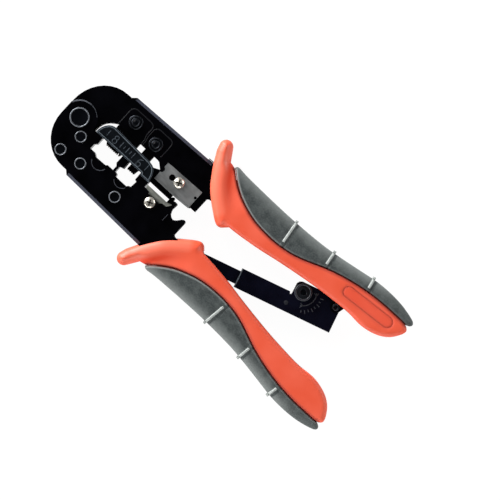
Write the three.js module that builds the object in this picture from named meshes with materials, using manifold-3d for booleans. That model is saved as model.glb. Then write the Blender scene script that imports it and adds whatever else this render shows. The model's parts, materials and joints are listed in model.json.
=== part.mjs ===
// Ratchet crimping tool for modular telephone and network plugs.
//
// Millimetres, +Z up. The tool lies flat with its handles open. Shapes are drawn with the main
// pivot on X = 0, Y = 0 and the tool's mid-plane on Z = 0: +X runs from the head to the handle
// ends and +Y points to the moving jaw's side. The last lines move the whole tool so that the
// origin is the middle of its footprint, on the surface that it lies on.

import * as THREE from 'three';
import { mergeVertices } from 'three/addons/utils/BufferGeometryUtils.js';
import Module from 'manifold-3d';

// ---- Driving dimensions ----------------------------------------------------------------------

// Half thicknesses, from the mid-plane outwards.
const REST_Z = 10.2;          // grips, guards and main rivet heads: what the tool lies on
const FRAME = { inner: 6.3, outer: 8.1 };
const JAW = { inner: 3.7, outer: 5.3 };
const BLADE = { inner: 5.35, outer: 6.15 };
const HOUSING = { inner: 2.2, outer: 3.3 };
const RACK_Z = 1.9;
const CORE_Z = 3.5;           // nest block between the jaw's plates
const DIE_Z = 3.3;
const BAR_Z = 9.0;
const INSERT_Z = 9.9;

const WEB = 1.8;              // sheet thickness along the folded edges
const BEND = 1.4;             // width of the folded edge's rounded corner
const GAP = 0.3;              // between a grip and the tang inside it
const RUNNING = 0.1;          // radial play of a pin in its hole

const MAIN_PIVOT = [0, 0];
const MAIN_SHAFT_R = 3.0;
const MAIN_RIVET_HEAD_R = 4.6;
const BOSS_R = 8.3;           // round end of the frame's plates over the pivot
const LOBE_R = 6.6;           // round end of the jaw's plates around the pivot
const TANG_END_X = 166;
const HANDLE_MIRROR_Y = 0.85; // the two handles mirror each other about this line

const STRUT_ANGLE = THREE.MathUtils.degToRad(16.9);
const STRUT_MOUTH = [102.35, -4.95];       // where the rack bar enters its housing
const STRUT_HALF = 4.7;                    // half width of the housing
const RACK_HALF = 3.2;                     // half width of the rack bar
const STRUT = { rackPivot: -27.5, rackEnd: 37, housingEnd: 48.3, travel: 4.4 };
const HOUSING_PIVOT = [46.03, 7.18];       // along and across the strut, from the mouth
const KNOB = [29.84, 6.87];
const STOP_PIN = [24.7, -0.76];
const RACK_PIN_R = 2;
const HOUSING_PIN_R = 1.3;
const STOP_PIN_R = 0.7;
const RELEASE_SHAFT_R = 1.5;

const FRAME_RIVETS = [[6.3, -6.1], [3.4, -16.6], [14.4, -15.3], [36.2, -15.9]];
const FRAME_RIVET_R = 1.5;
const FRAME_RIVET_HEAD_R = 2.75;
const DIE_PINS = { '8p': [20.3, 15.6], '6p': [33.8, 14.3] };
const DIE_PIN_R = 1.6;
const STRIPPING_SCREW = [49.7, -7.0];
const CUTTER_SCREW = [53.5, 8.6];
const SCREW_R = 1.25;
const SCREW_HEAD_R = 2.5;

const FINISH = {
  blackPaint: { color: 0x0c0c10, roughness: 0.3, metalness: 0.35 },
  barPaint: { color: 0x2a2f35, roughness: 0.45, metalness: 0.35 },
  rivetSteel: { color: 0x15161a, roughness: 0.3, metalness: 0.6 },
  bladeSteel: { color: 0x8b8c8c, roughness: 0.35, metalness: 0.9 },
  toolSteel: { color: 0x1c1c20, roughness: 0.4, metalness: 0.7 },
  nickel: { color: 0xd8d2c4, roughness: 0.2, metalness: 1.0 },
  springSteel: { color: 0x6b6e72, roughness: 0.35, metalness: 0.9 },
  orange: { color: 0xee5a3c, roughness: 0.45, metalness: 0.0 },
  greyRubber: { color: 0x666c6a, roughness: 0.65, metalness: 0.0 },
};

// ---- Geometry helpers ------------------------------------------------------------------------

const wasm = await Module();
wasm.setup();
const MERGE_TOLERANCE = 1e-4;

function solid(geometry) {
  geometry.deleteAttribute('normal');
  geometry.deleteAttribute('uv');
  const merged = mergeVertices(geometry, MERGE_TOLERANCE);
  return new wasm.Manifold(new wasm.Mesh({
    numProp: 3,
    vertProperties: new Float32Array(merged.attributes.position.array),
    triVerts: new Uint32Array(merged.index.array),
  }));
}

function geometryOf(manifold) {
  const mesh = manifold.getMesh();
  const geometry = new THREE.BufferGeometry();
  geometry.setAttribute('position', new THREE.BufferAttribute(mesh.vertProperties, 3));
  geometry.setIndex(new THREE.BufferAttribute(mesh.triVerts, 1));
  return geometry;
}

function shapeOf(points) {
  return new THREE.Shape(points.map(([x, y]) => new THREE.Vector2(x, y)));
}

// An arc of a circle or ellipse as points, angles in degrees, either way round.
function arc([cx, cy], [rx, ry], from, to, steps) {
  return Array.from({ length: steps + 1 }, (_, i) => {
    const angle = THREE.MathUtils.degToRad(from + ((to - from) * i) / steps);
    return [cx + rx * Math.cos(angle), cy + ry * Math.sin(angle)];
  });
}

// A smooth curve through the given points.
function curve(points, steps) {
  const spline = new THREE.SplineCurve(points.map(([x, y]) => new THREE.Vector2(x, y)));
  return spline.getPoints(steps).map(({ x, y }) => [x, y]);
}

function mirrored(points) {
  return points.map(([x, y]) => [x, 2 * HANDLE_MIRROR_Y - y]);
}

// A plate with the outline's full size at its middle and edges rounded by `round`.
function slab(outline, z0, z1, round = 0) {
  const geometry = new THREE.ExtrudeGeometry(shapeOf(outline), {
    depth: z1 - z0 - 2 * round,
    bevelEnabled: round > 0,
    bevelThickness: round,
    bevelSize: round,
    bevelOffset: -round,
    bevelSegments: 2,
  });
  return solid(geometry.translate(0, 0, z0 + round));
}

// The space that a plate of this outline needs with `gap` all round it.
function grown(outline, halfZ, gap) {
  const geometry = new THREE.ExtrudeGeometry(shapeOf(outline), {
    depth: 2 * halfZ,
    bevelEnabled: true,
    bevelThickness: gap,
    bevelSize: gap,
    bevelSegments: 1,
  });
  return solid(geometry.translate(0, 0, -halfZ));
}

function rod([x, y], radius, z0, z1, sides = 18) {
  const geometry = new THREE.CylinderGeometry(radius, radius, z1 - z0, sides);
  return solid(geometry.rotateX(Math.PI / 2).translate(x, y, (z0 + z1) / 2));
}

// A turned piece on an axis along Z: the profile lists [radius, z] from the axis back to it,
// from the bottom up or from the top down.
function turned([x, y], profile, sides = 18) {
  const rising = profile.at(-1)[1] > profile[0][1];
  const ordered = rising ? profile : [...profile].reverse();
  const points = ordered.map(([radius, z]) => new THREE.Vector2(radius, z));
  const geometry = new THREE.LatheGeometry(points, sides);
  return solid(geometry.rotateX(Math.PI / 2).translate(x, y, 0));
}

function ring(centre, inner, outer, z0, z1) {
  return rod(centre, outer, z0, z1).subtract(rod(centre, inner, z0 - 1, z1 + 1));
}

// The same plate on both sides of the mid-plane.
function pair(outline, { inner, outer }) {
  return slab(outline, inner, outer).add(slab(outline, -outer, -inner));
}

function drilled(body, centre, radius) {
  return body.subtract(rod(centre, radius, -2 * REST_Z, 2 * REST_Z));
}

// A prism of triangular section that takes the corner off a plate's edge. The edge runs in the
// XY plane at height z; `side` is +1 or -1 for an edge that faces +Y or -Y.
function edgeCutter([[x0, y0], [x1, y1]], width, z, side) {
  const over = 0.4;
  const reach = width + over;
  const triangle = [[over, over], [over, -reach], [-reach, over]];
  const geometry = new THREE.ExtrudeGeometry(shapeOf(triangle), {
    depth: Math.hypot(x1 - x0, y1 - y0),
    bevelEnabled: false,
  });
  const outward = new THREE.Vector3((y0 - y1) * side, (x1 - x0) * side, 0).normalize();
  const up = new THREE.Vector3(0, 0, Math.sign(z));
  const along = outward.clone().cross(up);
  const start = along.x > 0 ? [x0, y0, z] : [x1, y1, z];
  const place = new THREE.Matrix4().makeBasis(outward, up, along).setPosition(...start);
  return solid(geometry.applyMatrix4(place));
}

// A spring wire along the given 3-D points.
function wire(points, radius, steps, sides = 6) {
  const path = new THREE.CatmullRomCurve3(points.map(([x, y, z]) => new THREE.Vector3(x, y, z)));
  const section = shapeOf(arc([0, 0], [radius, radius], 0, 360, sides).slice(1));
  return solid(new THREE.ExtrudeGeometry(section, { steps, extrudePath: path }));
}

function part(group, name, manifold, finish) {
  const mesh = new THREE.Mesh(geometryOf(manifold), new THREE.MeshStandardMaterial(finish));
  mesh.name = name;
  group.add(mesh);
}

// ---- Outlines --------------------------------------------------------------------------------

const NOSE_X = -7.7;
const NOSE_CENTRE_X = 9;
const NOSE_RX = NOSE_CENTRE_X - NOSE_X;
const FOLD_START_X = 13.3;
const HEAD_END_X = 70;

// Folded outer edges of the head, from the nose to where the grips start.
const LOWER_FOLD = [[FOLD_START_X, -23.4], [58.8, -24.7]];
const UPPER_FOLD = [[FOLD_START_X, 24.4], [58.8, 25.7]];

// The lower handle's tang: inner edge towards the other handle, outer edge with the fold.
const TANG_INNER = curve([
  [71, -10.9], [74, -9.3], [80, -8.9], [90, -9.7], [100, -11.2], [120, -14.4], [140, -16.8],
  [158, -17.4], [TANG_END_X, -20],
], 12);
const TANG_OUTER = curve([
  [TANG_END_X, -26.5], [158, -30.6], [148, -31], [135, -29], [120, -27], [100, -26.3],
  [80, -26.2], [68, -25.4], LOWER_FOLD[1],
], 12);
const TANG_START_X = 56;
const TANG = [[TANG_START_X, -10.9], ...TANG_INNER, ...TANG_OUTER, [TANG_START_X, -24.62]];

// Marking bar over the nests: its ends are rounded.
const BAR_LEFT_END = curve([[9.9, 0.3], [10.1, 2.6], [11.1, 5.0], [12.8, 6.9], [14.8, 7.7]], 6);
const BAR_RIGHT_END = curve([[37, 6.7], [40.2, 5.7], [42.2, 3.0], [43.2, -0.7]], 6);
const BAR = [...BAR_LEFT_END, ...BAR_RIGHT_END, [38.2, -0.7], [37.7, 0.3]];

// Cable notch between two horns at the head's open end.
const NOTCH = curve([
  [59.4, -2.2], [60.3, -4.5], [62.4, -5.7], [64.3, -4.6], [65.6, -2.9], [66.7, -2.2],
], 10);

const LOWER_HEAD = [
  ...arc(MAIN_PIVOT, [BOSS_R, BOSS_R], 158, 2.1, 14),
  ...BAR_LEFT_END,
  ...BAR_RIGHT_END,
  [43.2, -3.4], [57.3, -3.4], [57.3, 0.6], [57.8, 1.1], [59.2, 1.1], [59.7, 0.5],
  ...NOTCH,
  [67.5, -2.4], [67.9, -3.1], [67.9, -10.2], [68.6, -10.8], [HEAD_END_X, -10.9],
  [HEAD_END_X, -25.5], LOWER_FOLD[1], LOWER_FOLD[0], [11.5, -21.7],
  ...arc([NOSE_CENTRE_X, -4], [NOSE_RX, 17.7], 270, 180, 9),
];

// The jaw's plates: an opening from the pivot lobe to the cutter lets the fixed bar through.
const JAW_OPENING_TOP = 9.7;
const JAW_OPENING_LEFT = curve([
  [15, JAW_OPENING_TOP], [12.1, 7.8], [10.2, 5.5], [9.3, 2.8], [9.1, -0.3],
], 7);
const UPPER_HEAD = [
  ...arc([NOSE_CENTRE_X, 4], [NOSE_RX, 18.6], 180, 90, 9),
  [11.3, 22.6], UPPER_FOLD[0], UPPER_FOLD[1], [HEAD_END_X, 26.9],
  [HEAD_END_X, 12.5], [68.4, 12.2], [67.8, 11.6], [67.8, 3.7], [64.9, 3.7], [64.6, 3.2],
  [55.7, 3.0], [55.2, 2.6], [55.2, 0.05], [40.2, 0.05], [40.2, 5.9], [42.9, 7.2],
  [40.4, 9.4], [39.3, JAW_OPENING_TOP],
  ...JAW_OPENING_LEFT,
  [8.0, -1.3],
  ...arc(MAIN_PIVOT, [LOBE_R, LOBE_R], -12, -180, 14),
];

// Plug nests, seen along the way the plug goes in.
const NEST_TOP = 0.3;
const NEST_8P = [
  [14.2, NEST_TOP], [14.2, -3.5], [13.1, -4.5], [13.1, -7.1], [16, -7.1], [17.6, -8.3],
  [23.4, -8.1], [24, -7.4], [27.3, -7.4], [27.3, -5.0], [26.3, -3.9], [26.3, NEST_TOP],
];
const NEST_6P = [
  [30.3, NEST_TOP + 0.3], [30.5, -3.7], [28.6, -4.2], [28.6, -7.2], [29.9, -7.5], [30.4, -8.8],
  [36.8, -8.8], [37.3, -8.0], [38.5, -7.5], [38.8, -4.2], [37.7, -3.8], [37.5, NEST_TOP + 0.3],
];
const THUMB_RECESSES = [[20.6, -8.6, 3.9], [33.6, -8.0, 3.7]];
const THUMB_RECESS_DEPTH = 0.6;

// ---- Fixed side: frame, nests, stripping blade, lower grip ------------------------------------

// A band along a folded edge, WEB thick, closing the channel between its two plates.
function web(edge, towards) {
  return [...edge, ...edge.map(([x, y]) => [x, y + towards * WEB]).reverse()];
}

function lowerFrame() {
  const edge = [...TANG_OUTER, LOWER_FOLD[0]];
  let body = pair(LOWER_HEAD, FRAME).add(pair(TANG, FRAME));
  body = body.add(slab(web(edge, 1), -FRAME.outer, FRAME.outer));
  for (const outline of [NEST_8P, NEST_6P]) {
    body = body.subtract(slab(outline, -REST_Z, REST_Z));
  }
  for (const [x, y, radius] of THUMB_RECESSES) {
    body = body.subtract(rod([x, y], radius, FRAME.outer - THUMB_RECESS_DEPTH, REST_Z));
  }
  const step = [[60.2, -9], [60.2, -1], [69, -1], [69, -9]];
  body = body.subtract(slab(step, FRAME.outer - 0.4, REST_Z));
  for (const z of [FRAME.outer, -FRAME.outer]) {
    body = body.subtract(edgeCutter(LOWER_FOLD, BEND, z, -1));
  }
  for (const centre of FRAME_RIVETS) {
    body = drilled(body, centre, FRAME_RIVET_R + RUNNING);
  }
  const screwHole = rod(STRIPPING_SCREW, SCREW_R + RUNNING, FRAME.inner - 1, REST_Z);
  body = drilled(body, MAIN_PIVOT, MAIN_SHAFT_R + RUNNING).subtract(screwHole);
  return drilled(body, strutPoint([STRUT.rackPivot, 0]), RACK_PIN_R + RUNNING);
}

// The block that both nests are cut in: a thin core between the jaw's plates, and thick pads
// below their sweep that meet the frame's plates.
function nestBlock() {
  const core = [
    [9.6, 0.1], [14.8, 0.1], [14.8, -4.0], [37.4, -4.0], [37.4, -0.9], [43.2, -0.9],
    [43.2, -3.2], [55.1, -3.2], [55.1, 0.6], [55.6, 1.8], [56.4, 2.3], [57.1, 2.0],
    [57.3, 1.2], [57.3, -4], [58.6, -6.5], [58.6, -19.4], [2, -19.4], [-1.5, -16],
    [-3.2, -12], [-3.2, -9], [4, -8], [9.6, -3],
  ];
  const pad = [
    [-3.2, -9.2], [5, -3.4], [10.8, -3.4], [11.6, -8.8], [16.6, -10.2], [56.5, -10.2],
    [56.5, -19.4], [4, -19.4], [-1.2, -15.6],
  ];
  const padZ = FRAME.inner - 0.05;
  let body = slab(core, -CORE_Z, CORE_Z).add(slab(pad, -padZ, padZ));
  body = body.subtract(rod(MAIN_PIVOT, LOBE_R + 0.5, -REST_Z, REST_Z, 36));
  for (const outline of [NEST_8P, NEST_6P]) {
    body = body.subtract(slab(outline, -REST_Z, REST_Z));
  }
  for (const centre of FRAME_RIVETS) {
    body = drilled(body, centre, FRAME_RIVET_R + RUNNING);
  }
  return body;
}

function markingBar(front) {
  const [z0, z1] = front ? [FRAME.outer, BAR_Z] : [-BAR_Z, -FRAME.outer];
  return slab(BAR, z0, z1, 0.25);
}

// A rivet with a shallow dish in each head, which leaves a bright rim.
function rivet(centre, shaftR, headR, under, top) {
  const rim = 0.35;
  const dishR = headR - 2 * rim;
  const half = [
    [0, top - rim], [dishR, top - rim], [dishR + 0.1, top], [headR - rim, top],
    [headR, top - rim], [headR, under], [shaftR, under],
  ];
  const otherHalf = half.map(([radius, z]) => [radius, -z]).reverse();
  return turned(centre, [...half, ...otherHalf]);
}

function pivotWasher(side) {
  const [z0, z1] = [JAW.outer + 0.05, FRAME.inner - 0.05];
  const washer = ring(MAIN_PIVOT, MAIN_SHAFT_R + RUNNING, 5.8, z0, z1);
  return side > 0 ? washer : washer.mirror([0, 0, 1]);
}

// Screw with a low round head and a cross recess; the shank goes down to `end`.
function crossScrew([x, y], end, under, top) {
  const head = top - under;
  const profile = [
    [0, end], [SCREW_R, end], [SCREW_R, under], [SCREW_HEAD_R, under],
    [SCREW_HEAD_R, under + 0.35 * head], [0.8 * SCREW_HEAD_R, top - 0.15 * head],
    [0.55 * SCREW_HEAD_R, top], [0, top],
  ];
  const reach = 0.6 * SCREW_HEAD_R;
  const arm = new THREE.BoxGeometry(2 * reach, 0.6, head).translate(0, 0, top);
  const armSolid = solid(arm);
  const recess = armSolid.add(armSolid.rotate([0, 0, 90])).rotate([0, 0, 25]);
  return turned([x, y], profile).subtract(recess.translate([x, y, 0]));
}

const STRIPPING_BLADE_THICKNESS = 0.8;
const GROUND_DEPTH = 0.35;    // of a blade's ground edge below its face

// Stripping blade: a straight edge, a pointed end and a round tab under its screw.
function strippingBlade() {
  const outline = [
    [43.3, -1.6], [56.0, -1.6], [57.9, -0.9], [57.6, -1.8], [56.4, -3.3], [54.2, -3.4],
    [53.2, -4.4], ...arc(STRIPPING_SCREW, [3.5, 3.5], 15, -195, 10), [46.4, -3.6],
    [43.9, -3.1],
  ];
  const edge = [[43, -1.2], [58, -1.2], [58, -2.4], [43, -2.4]];
  const top = FRAME.outer + STRIPPING_BLADE_THICKNESS;
  const ground = slab(edge, top - GROUND_DEPTH, REST_Z);
  const blade = slab(outline, FRAME.outer, top).subtract(ground);
  return drilled(blade, STRIPPING_SCREW, SCREW_R + RUNNING);
}

// ---- Handle grips ----------------------------------------------------------------------------

const GRIP_INNER = curve([
  [83.8, -7.4], [90, -7.9], [100, -9.2], [110, -11], [120, -12.6], [130, -14], [140, -15],
  [150, -15.6], [159, -15.2], [166.2, -16.8], [171.3, -19.9], [174.6, -24.4], [175.3, -27.3],
  [173.6, -28.9],
], 22);
const GRIP_SEAM = curve([
  [170, -29.1], [160, -29.1], [150, -28.3], [140, -26.5], [130, -23.7], [118, -19.1],
  [110, -17.1], [101, -16.4], [90, -17.4], [80, -20.7], [73, -24.8], [67.6, -29.1],
], 18);
const GUARD_TIP = { centre: [58.1, -33.6], radius: 3.3 };
const GUARD_FRONT = curve([
  [55.8, -29.9], [58.8, -24.4], [61.8, -19.7], [65.2, -15.1], [69.9, -10.6], [74.9, -6.7],
  [77.4, -5.0],
], 10);
const GUARD_TOP = { centre: [79.5, -7.4], radius: 3.1 };
const GRIP = [
  ...GRIP_INNER,
  ...GRIP_SEAM,
  [64.4, -29.8],
  ...arc(GUARD_TIP.centre, [GUARD_TIP.radius, GUARD_TIP.radius], -28, -186, 7),
  ...GUARD_FRONT,
  ...arc(GUARD_TOP.centre, [GUARD_TOP.radius, GUARD_TOP.radius], 104, 38, 4),
];
const GRIP_ROUND = 1.5;
const INSERT_ROUND = 0.5;
const SEAM_WIDTH = 0.45;
const INSERT = [
  ...GRIP_SEAM.map(([x, y]) => [x, y - SEAM_WIDTH]).reverse(),
  ...curve([
    [174.8, -30.0], [175.9, -31.1], [174.2, -32.3], [170, -33.9], [165, -34.8], [158, -35.2],
    [150, -34.8], [140, -33.2], [130, -31.6], [120, -30.4], [105, -29.7], [90, -29.7],
    [75, -30.1], [69, -30.6], [67.8, -30.1],
  ], 20),
];
const RIBS = [
  { from: [106.6, -18.7], to: [105.0, -30.2] },
  { from: [127.9, -24.9], to: [127.0, -31.7] },
  { from: [149.4, -30.0], to: [148.4, -35.1] },
];
const RIB_HALF = 0.55;

// The mouth along a grip's inner edge, where the strut folds in between the tang's plates.
const GRIP_MOUTH = [[79, -12], [79, -8.2], [87, -4.5], [152, -4.5], [152, -19]];

function gripPocket(flip, halfZ, mouthZ) {
  const place = flip ? mirrored : (points) => points;
  return grown(place(TANG), halfZ, GAP).add(slab(place(GRIP_MOUTH), -mouthZ, mouthZ));
}

function gripShell(flip, pocket) {
  const outline = flip ? mirrored(GRIP) : GRIP;
  return slab(outline, -REST_Z, REST_Z, GRIP_ROUND).subtract(pocket);
}

function gripInsert(flip, pocket) {
  const place = flip ? mirrored : (points) => points;
  let body = slab(place(INSERT), -INSERT_Z, INSERT_Z, INSERT_ROUND);
  for (const { from, to } of RIBS) {
    const [dx, dy] = [to[0] - from[0], to[1] - from[1]];
    const scale = RIB_HALF / Math.hypot(dx, dy);
    const [nx, ny] = [-dy * scale, dx * scale];
    const rib = [
      [from[0] + nx, from[1] + ny], [from[0] - nx, from[1] - ny],
      [to[0] - nx, to[1] - ny], [to[0] + nx, to[1] + ny],
    ];
    body = body.add(slab(place(rib), -INSERT_Z - 0.2, INSERT_Z + 0.2));
  }
  return body.subtract(pocket);
}

// ---- Moving side: jaw, dies, cutter ------------------------------------------------------------

// Ears of the jaw's tang that reach out of the grip to carry the strut's pivot pin.
function strutEar() {
  const [x, y] = strutPoint(HOUSING_PIVOT);
  return [[x - 4, y + 5], ...arc([x, y], [2.7, 2.7], 190, 350, 8), [x + 4, y + 5]];
}

function upperJaw() {
  const edge = [...mirrored(TANG_OUTER).slice(0, -1), ...[...UPPER_FOLD].reverse()];
  let body = pair(UPPER_HEAD, JAW).add(pair(mirrored(TANG), JAW)).add(pair(strutEar(), JAW));
  body = body.add(slab(web(edge, -1), -JAW.outer, JAW.outer));
  for (const z of [JAW.outer, -JAW.outer]) {
    body = body.subtract(edgeCutter(UPPER_FOLD, BEND, z, 1));
  }
  for (const centre of Object.values(DIE_PINS)) {
    body = drilled(body, centre, DIE_PIN_R + RUNNING);
  }
  body = body.subtract(rod(CUTTER_SCREW, SCREW_R + RUNNING, 0, REST_Z));
  body = drilled(body, strutPoint(HOUSING_PIVOT), HOUSING_PIN_R + RUNNING);
  return drilled(body, MAIN_PIVOT, MAIN_SHAFT_R + RUNNING);
}

const DIES = {
  '8p': {
    outline: [
      [15.2, 20.4], [15.2, 0.25], [16.4, 0.25], [17.1, -0.85], [23.2, -0.9], [23.6, -0.1],
      [24.2, -0.1], [24.5, -0.9], [25.1, -0.9], [25.6, 0.25], [28.5, 0.25], [28.5, 20.4],
    ],
    comb: { x: 17.5, teeth: 8, tip: -1.2, back: 0.9 },
  },
  '6p': {
    outline: [
      [31.6, 20.4], [31.5, -2.5], [35.6, -2.5], [35.9, -0.6], [36.2, 0.3], [37, 0.7],
      [37, 20.4],
    ],
    comb: { x: 32.0, teeth: 4, tip: -2.8, back: -0.9 },
  },
};
const CONTACT_PITCH = 1.02;
const COMB_TOOTH = 0.45;
const COMB_Z = 1.6;
const COMB_SPINE = 0.7;

function crimpDie(size) {
  const { outline, comb } = DIES[size];
  const end = comb.x + (comb.teeth - 1) * CONTACT_PITCH;
  const room = [
    [comb.x - 0.45, comb.tip - 1], [end + 0.45, comb.tip - 1], [end + 0.45, comb.back + GAP],
    [comb.x - 0.45, comb.back + GAP],
  ];
  const body = slab(outline, -DIE_Z, DIE_Z).subtract(slab(room, -COMB_Z - GAP, COMB_Z + GAP));
  return drilled(body, DIE_PINS[size], DIE_PIN_R + RUNNING);
}

// The comb whose teeth drive the plug's contacts into the wires.
function contactComb(size) {
  const { x, teeth, tip, back } = DIES[size].comb;
  const half = COMB_TOOTH / 2;
  const end = x + (teeth - 1) * CONTACT_PITCH;
  const root = back - COMB_SPINE;
  const outline = [[end + half, back], [x - half, back]];
  for (let i = 0; i < teeth; i += 1) {
    const centre = x + i * CONTACT_PITCH;
    outline.push([centre - half, root], [centre - half, tip]);
    outline.push([centre + half, tip], [centre + half, root]);
  }
  return slab(outline, -COMB_Z, COMB_Z);
}

function diePin(size) {
  const head = { r: 3.4, under: JAW.outer + 0.05, top: 5.95, nub: 6.2 };
  const half = [
    [0, head.nub], [DIE_PIN_R, head.nub], [DIE_PIN_R + 0.2, head.top], [head.r - 0.2, head.top],
    [head.r, head.under], [DIE_PIN_R, head.under],
  ];
  const otherHalf = half.map(([radius, z]) => [radius, -z]).reverse();
  return turned(DIE_PINS[size], [...half, ...otherHalf]);
}

// Cable cutter: a flat blade with a ground edge, a slot end, a second hole and a notch.
function cutterBlade() {
  const outline = [
    [43.6, 12.1], [43.6, 9.6], ...arc([43.6, 8.1], [1.2, 1.4], 90, -90, 6), [43.6, 2.6],
    [57.2, 2.5], [64.3, 2.9], [64.2, 12.6],
  ];
  let body = slab(outline, BLADE.inner, BLADE.outer);
  body = drilled(body, CUTTER_SCREW, SCREW_R + RUNNING);
  body = drilled(body, [49.5, 8.3], 1.5);
  const edge = [[43, 2], [65, 2], [65, 3.9], [43, 3.6]];
  const pinHole = rod([63.5, 8.6], 0.7, BLADE.inner - 1, BLADE.outer + 1, 12);
  return body.subtract(slab(edge, BLADE.outer - GROUND_DEPTH, BLADE.outer + 1)).subtract(pinHole);
}

// ---- Ratchet strut, drawn along its own axis ---------------------------------------------------

// A point given along and across the strut, in the tool's own X and Y.
function strutPoint([along, across]) {
  const [cos, sin] = [Math.cos(STRUT_ANGLE), Math.sin(STRUT_ANGLE)];
  return [
    STRUT_MOUTH[0] + along * cos - across * sin,
    STRUT_MOUTH[1] + along * sin + across * cos,
  ];
}

// The rack bar: an eye at the frame's end, saw teeth under the pawl and a slot for the stop pin.
function ratchetRack() {
  const tooth = { first: 25, pitch: 1.5, count: 7, depth: 1.1 };
  const outline = [
    ...arc([STRUT.rackPivot, 0], [3.7, 3.7], -58, -302, 12),
    [STRUT.rackPivot + 7, RACK_HALF],
  ];
  for (let i = 0; i < tooth.count; i += 1) {
    const start = tooth.first + i * tooth.pitch;
    outline.push([start, RACK_HALF], [start + tooth.pitch, RACK_HALF - tooth.depth]);
  }
  const lastTooth = tooth.first + tooth.count * tooth.pitch;
  outline.push([lastTooth, RACK_HALF], [STRUT.rackEnd, RACK_HALF], [STRUT.rackEnd, -RACK_HALF]);
  outline.push([STRUT.rackPivot + 7, -RACK_HALF]);
  const [pin, y] = STOP_PIN;
  const slotR = 1.15;
  const slot = [
    ...arc([pin + 0.1, y], [slotR, slotR], 90, -90, 6),
    ...arc([pin - STRUT.travel - 0.5, y], [slotR, slotR], -90, -270, 6),
  ];
  const body = slab(outline, -RACK_Z, RACK_Z).subtract(slab(slot, -REST_Z, REST_Z));
  return drilled(body, [STRUT.rackPivot, 0], RACK_PIN_R + RUNNING);
}

// The housing that slides over the rack bar: two plates joined by webs, a mouth at the rack's
// side, and a raised part for the pawl.
function strutHousing() {
  const end = STRUT.housingEnd;
  const outline = [
    [0, -STRUT_HALF], [end, -STRUT_HALF], [end, 8.6], [47.2, 10.4], [45.6, 11.2], [27.6, 11.2],
    [26.2, 10.6], [25.4, 9.4], [25.3, 4.4], [25.1, 3.7], [24.5, 3.7], [24.2, STRUT_HALF],
    [0, STRUT_HALF],
  ];
  const wall = STRUT_HALF - 1;
  const bottom = [[0, -STRUT_HALF], [end, -STRUT_HALF], [end, -wall], [0, -wall]];
  const top = [[0, wall], [23, wall], [23, STRUT_HALF], [0, STRUT_HALF]];
  const stop = [[end - 1, -wall - 0.5], [end, -wall - 0.5], [end, 3.4], [end - 1, 3.4]];
  let body = pair(outline, HOUSING);
  for (const piece of [bottom, top, stop]) {
    body = body.add(slab(piece, -HOUSING.inner - 0.5, HOUSING.inner + 0.5));
  }
  body = drilled(body, HOUSING_PIVOT, HOUSING_PIN_R + RUNNING);
  body = drilled(body, STOP_PIN, STOP_PIN_R + RUNNING);
  return drilled(body, KNOB, RELEASE_SHAFT_R + RUNNING);
}

function handleSpring() {
  const [start, end] = [STRUT.rackEnd + 0.45, STRUT.housingEnd - 1.45];
  const turns = 4;
  const samples = turns * 8;
  const points = Array.from({ length: samples + 1 }, (_, i) => {
    const angle = (i / samples) * turns * 2 * Math.PI;
    const along = start + ((end - start) * i) / samples;
    return [along, 1.6 * Math.cos(angle) - 0.2, 1.6 * Math.sin(angle)];
  });
  return wire(points, 0.4, 44);
}

// The pawl: a hub on the knob's shaft and an arm whose tip points into the teeth.
function pawl() {
  const [x, y] = KNOB;
  const outline = [
    ...arc(KNOB, [2.5, 2.5], 20, 250, 12),
    [x + 1.2, y - 2.9], [x + 3.6, y - 3.5], [x + 4.4, y - 3.35], [x + 4.5, y - 2.6],
  ];
  return drilled(slab(outline, -0.1, RACK_Z), KNOB, RELEASE_SHAFT_R + RUNNING);
}

function pawlSpring() {
  const [x, y] = KNOB;
  const turns = 2;
  const samples = turns * 10;
  const coil = Array.from({ length: samples + 1 }, (_, i) => {
    const angle = (i / samples) * turns * 2 * Math.PI;
    return [x + 2.05 * Math.cos(angle), y + 2.05 * Math.sin(angle), -1.6 + (1.1 * i) / samples];
  });
  const tail = [[x + 2.05, y - 3.2, -1.6], [x + 2.05, y - 1.6, -1.6]];
  return wire([...tail, ...coil], 0.22, 30, 5);
}

function releaseShaft() {
  const head = rod(KNOB, 2.3, -4.3, -HOUSING.outer - 0.1);
  return rod(KNOB, RELEASE_SHAFT_R, -HOUSING.outer - 0.2, 4.2).add(head);
}

function releaseKnob() {
  const [bottom, top] = [HOUSING.outer + 0.1, 5.3];
  const profile = [[0, bottom], [4.1, bottom], [4.1, top - 0.4], [3.7, top], [0, top]];
  const bore = rod(KNOB, RELEASE_SHAFT_R + RUNNING, 0, 4.5);
  const body = turned(KNOB, profile, 24).subtract(bore);
  const dish = ring(KNOB, 1.9, 3.2, top - 0.35, top + 1);
  return body.subtract(rod(KNOB, 1.4, 4, top + 1)).subtract(dish);
}

function knobScrew() {
  const slot = solid(new THREE.BoxGeometry(3, 0.45, 0.6).translate(KNOB[0], KNOB[1], 5.1));
  return rod(KNOB, 1.3, 4.3, 5.1, 16).subtract(slot);
}

function stopPin() {
  return rod(STOP_PIN, STOP_PIN_R, -HOUSING.outer - 0.15, HOUSING.outer + 0.15, 12);
}

function rackSpacer(side) {
  const centre = strutPoint([STRUT.rackPivot, 0]);
  const spacer = ring(centre, RACK_PIN_R + RUNNING, 3.3, RACK_Z + 0.15, FRAME.inner - 0.1);
  return side > 0 ? spacer : spacer.mirror([0, 0, 1]);
}

function housingPin() {
  const head = { radius: 1.75, under: JAW.outer + 0.05, top: 5.75 };
  const half = [
    [0, head.top], [head.radius - 0.25, head.top], [head.radius, head.top - 0.15],
    [head.radius, head.under], [HOUSING_PIN_R, head.under],
  ];
  const otherHalf = half.map(([radius, z]) => [radius, -z]).reverse();
  return turned(strutPoint(HOUSING_PIVOT), [...half, ...otherHalf]);
}

// ---- Assembly ----------------------------------------------------------------------------------

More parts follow.
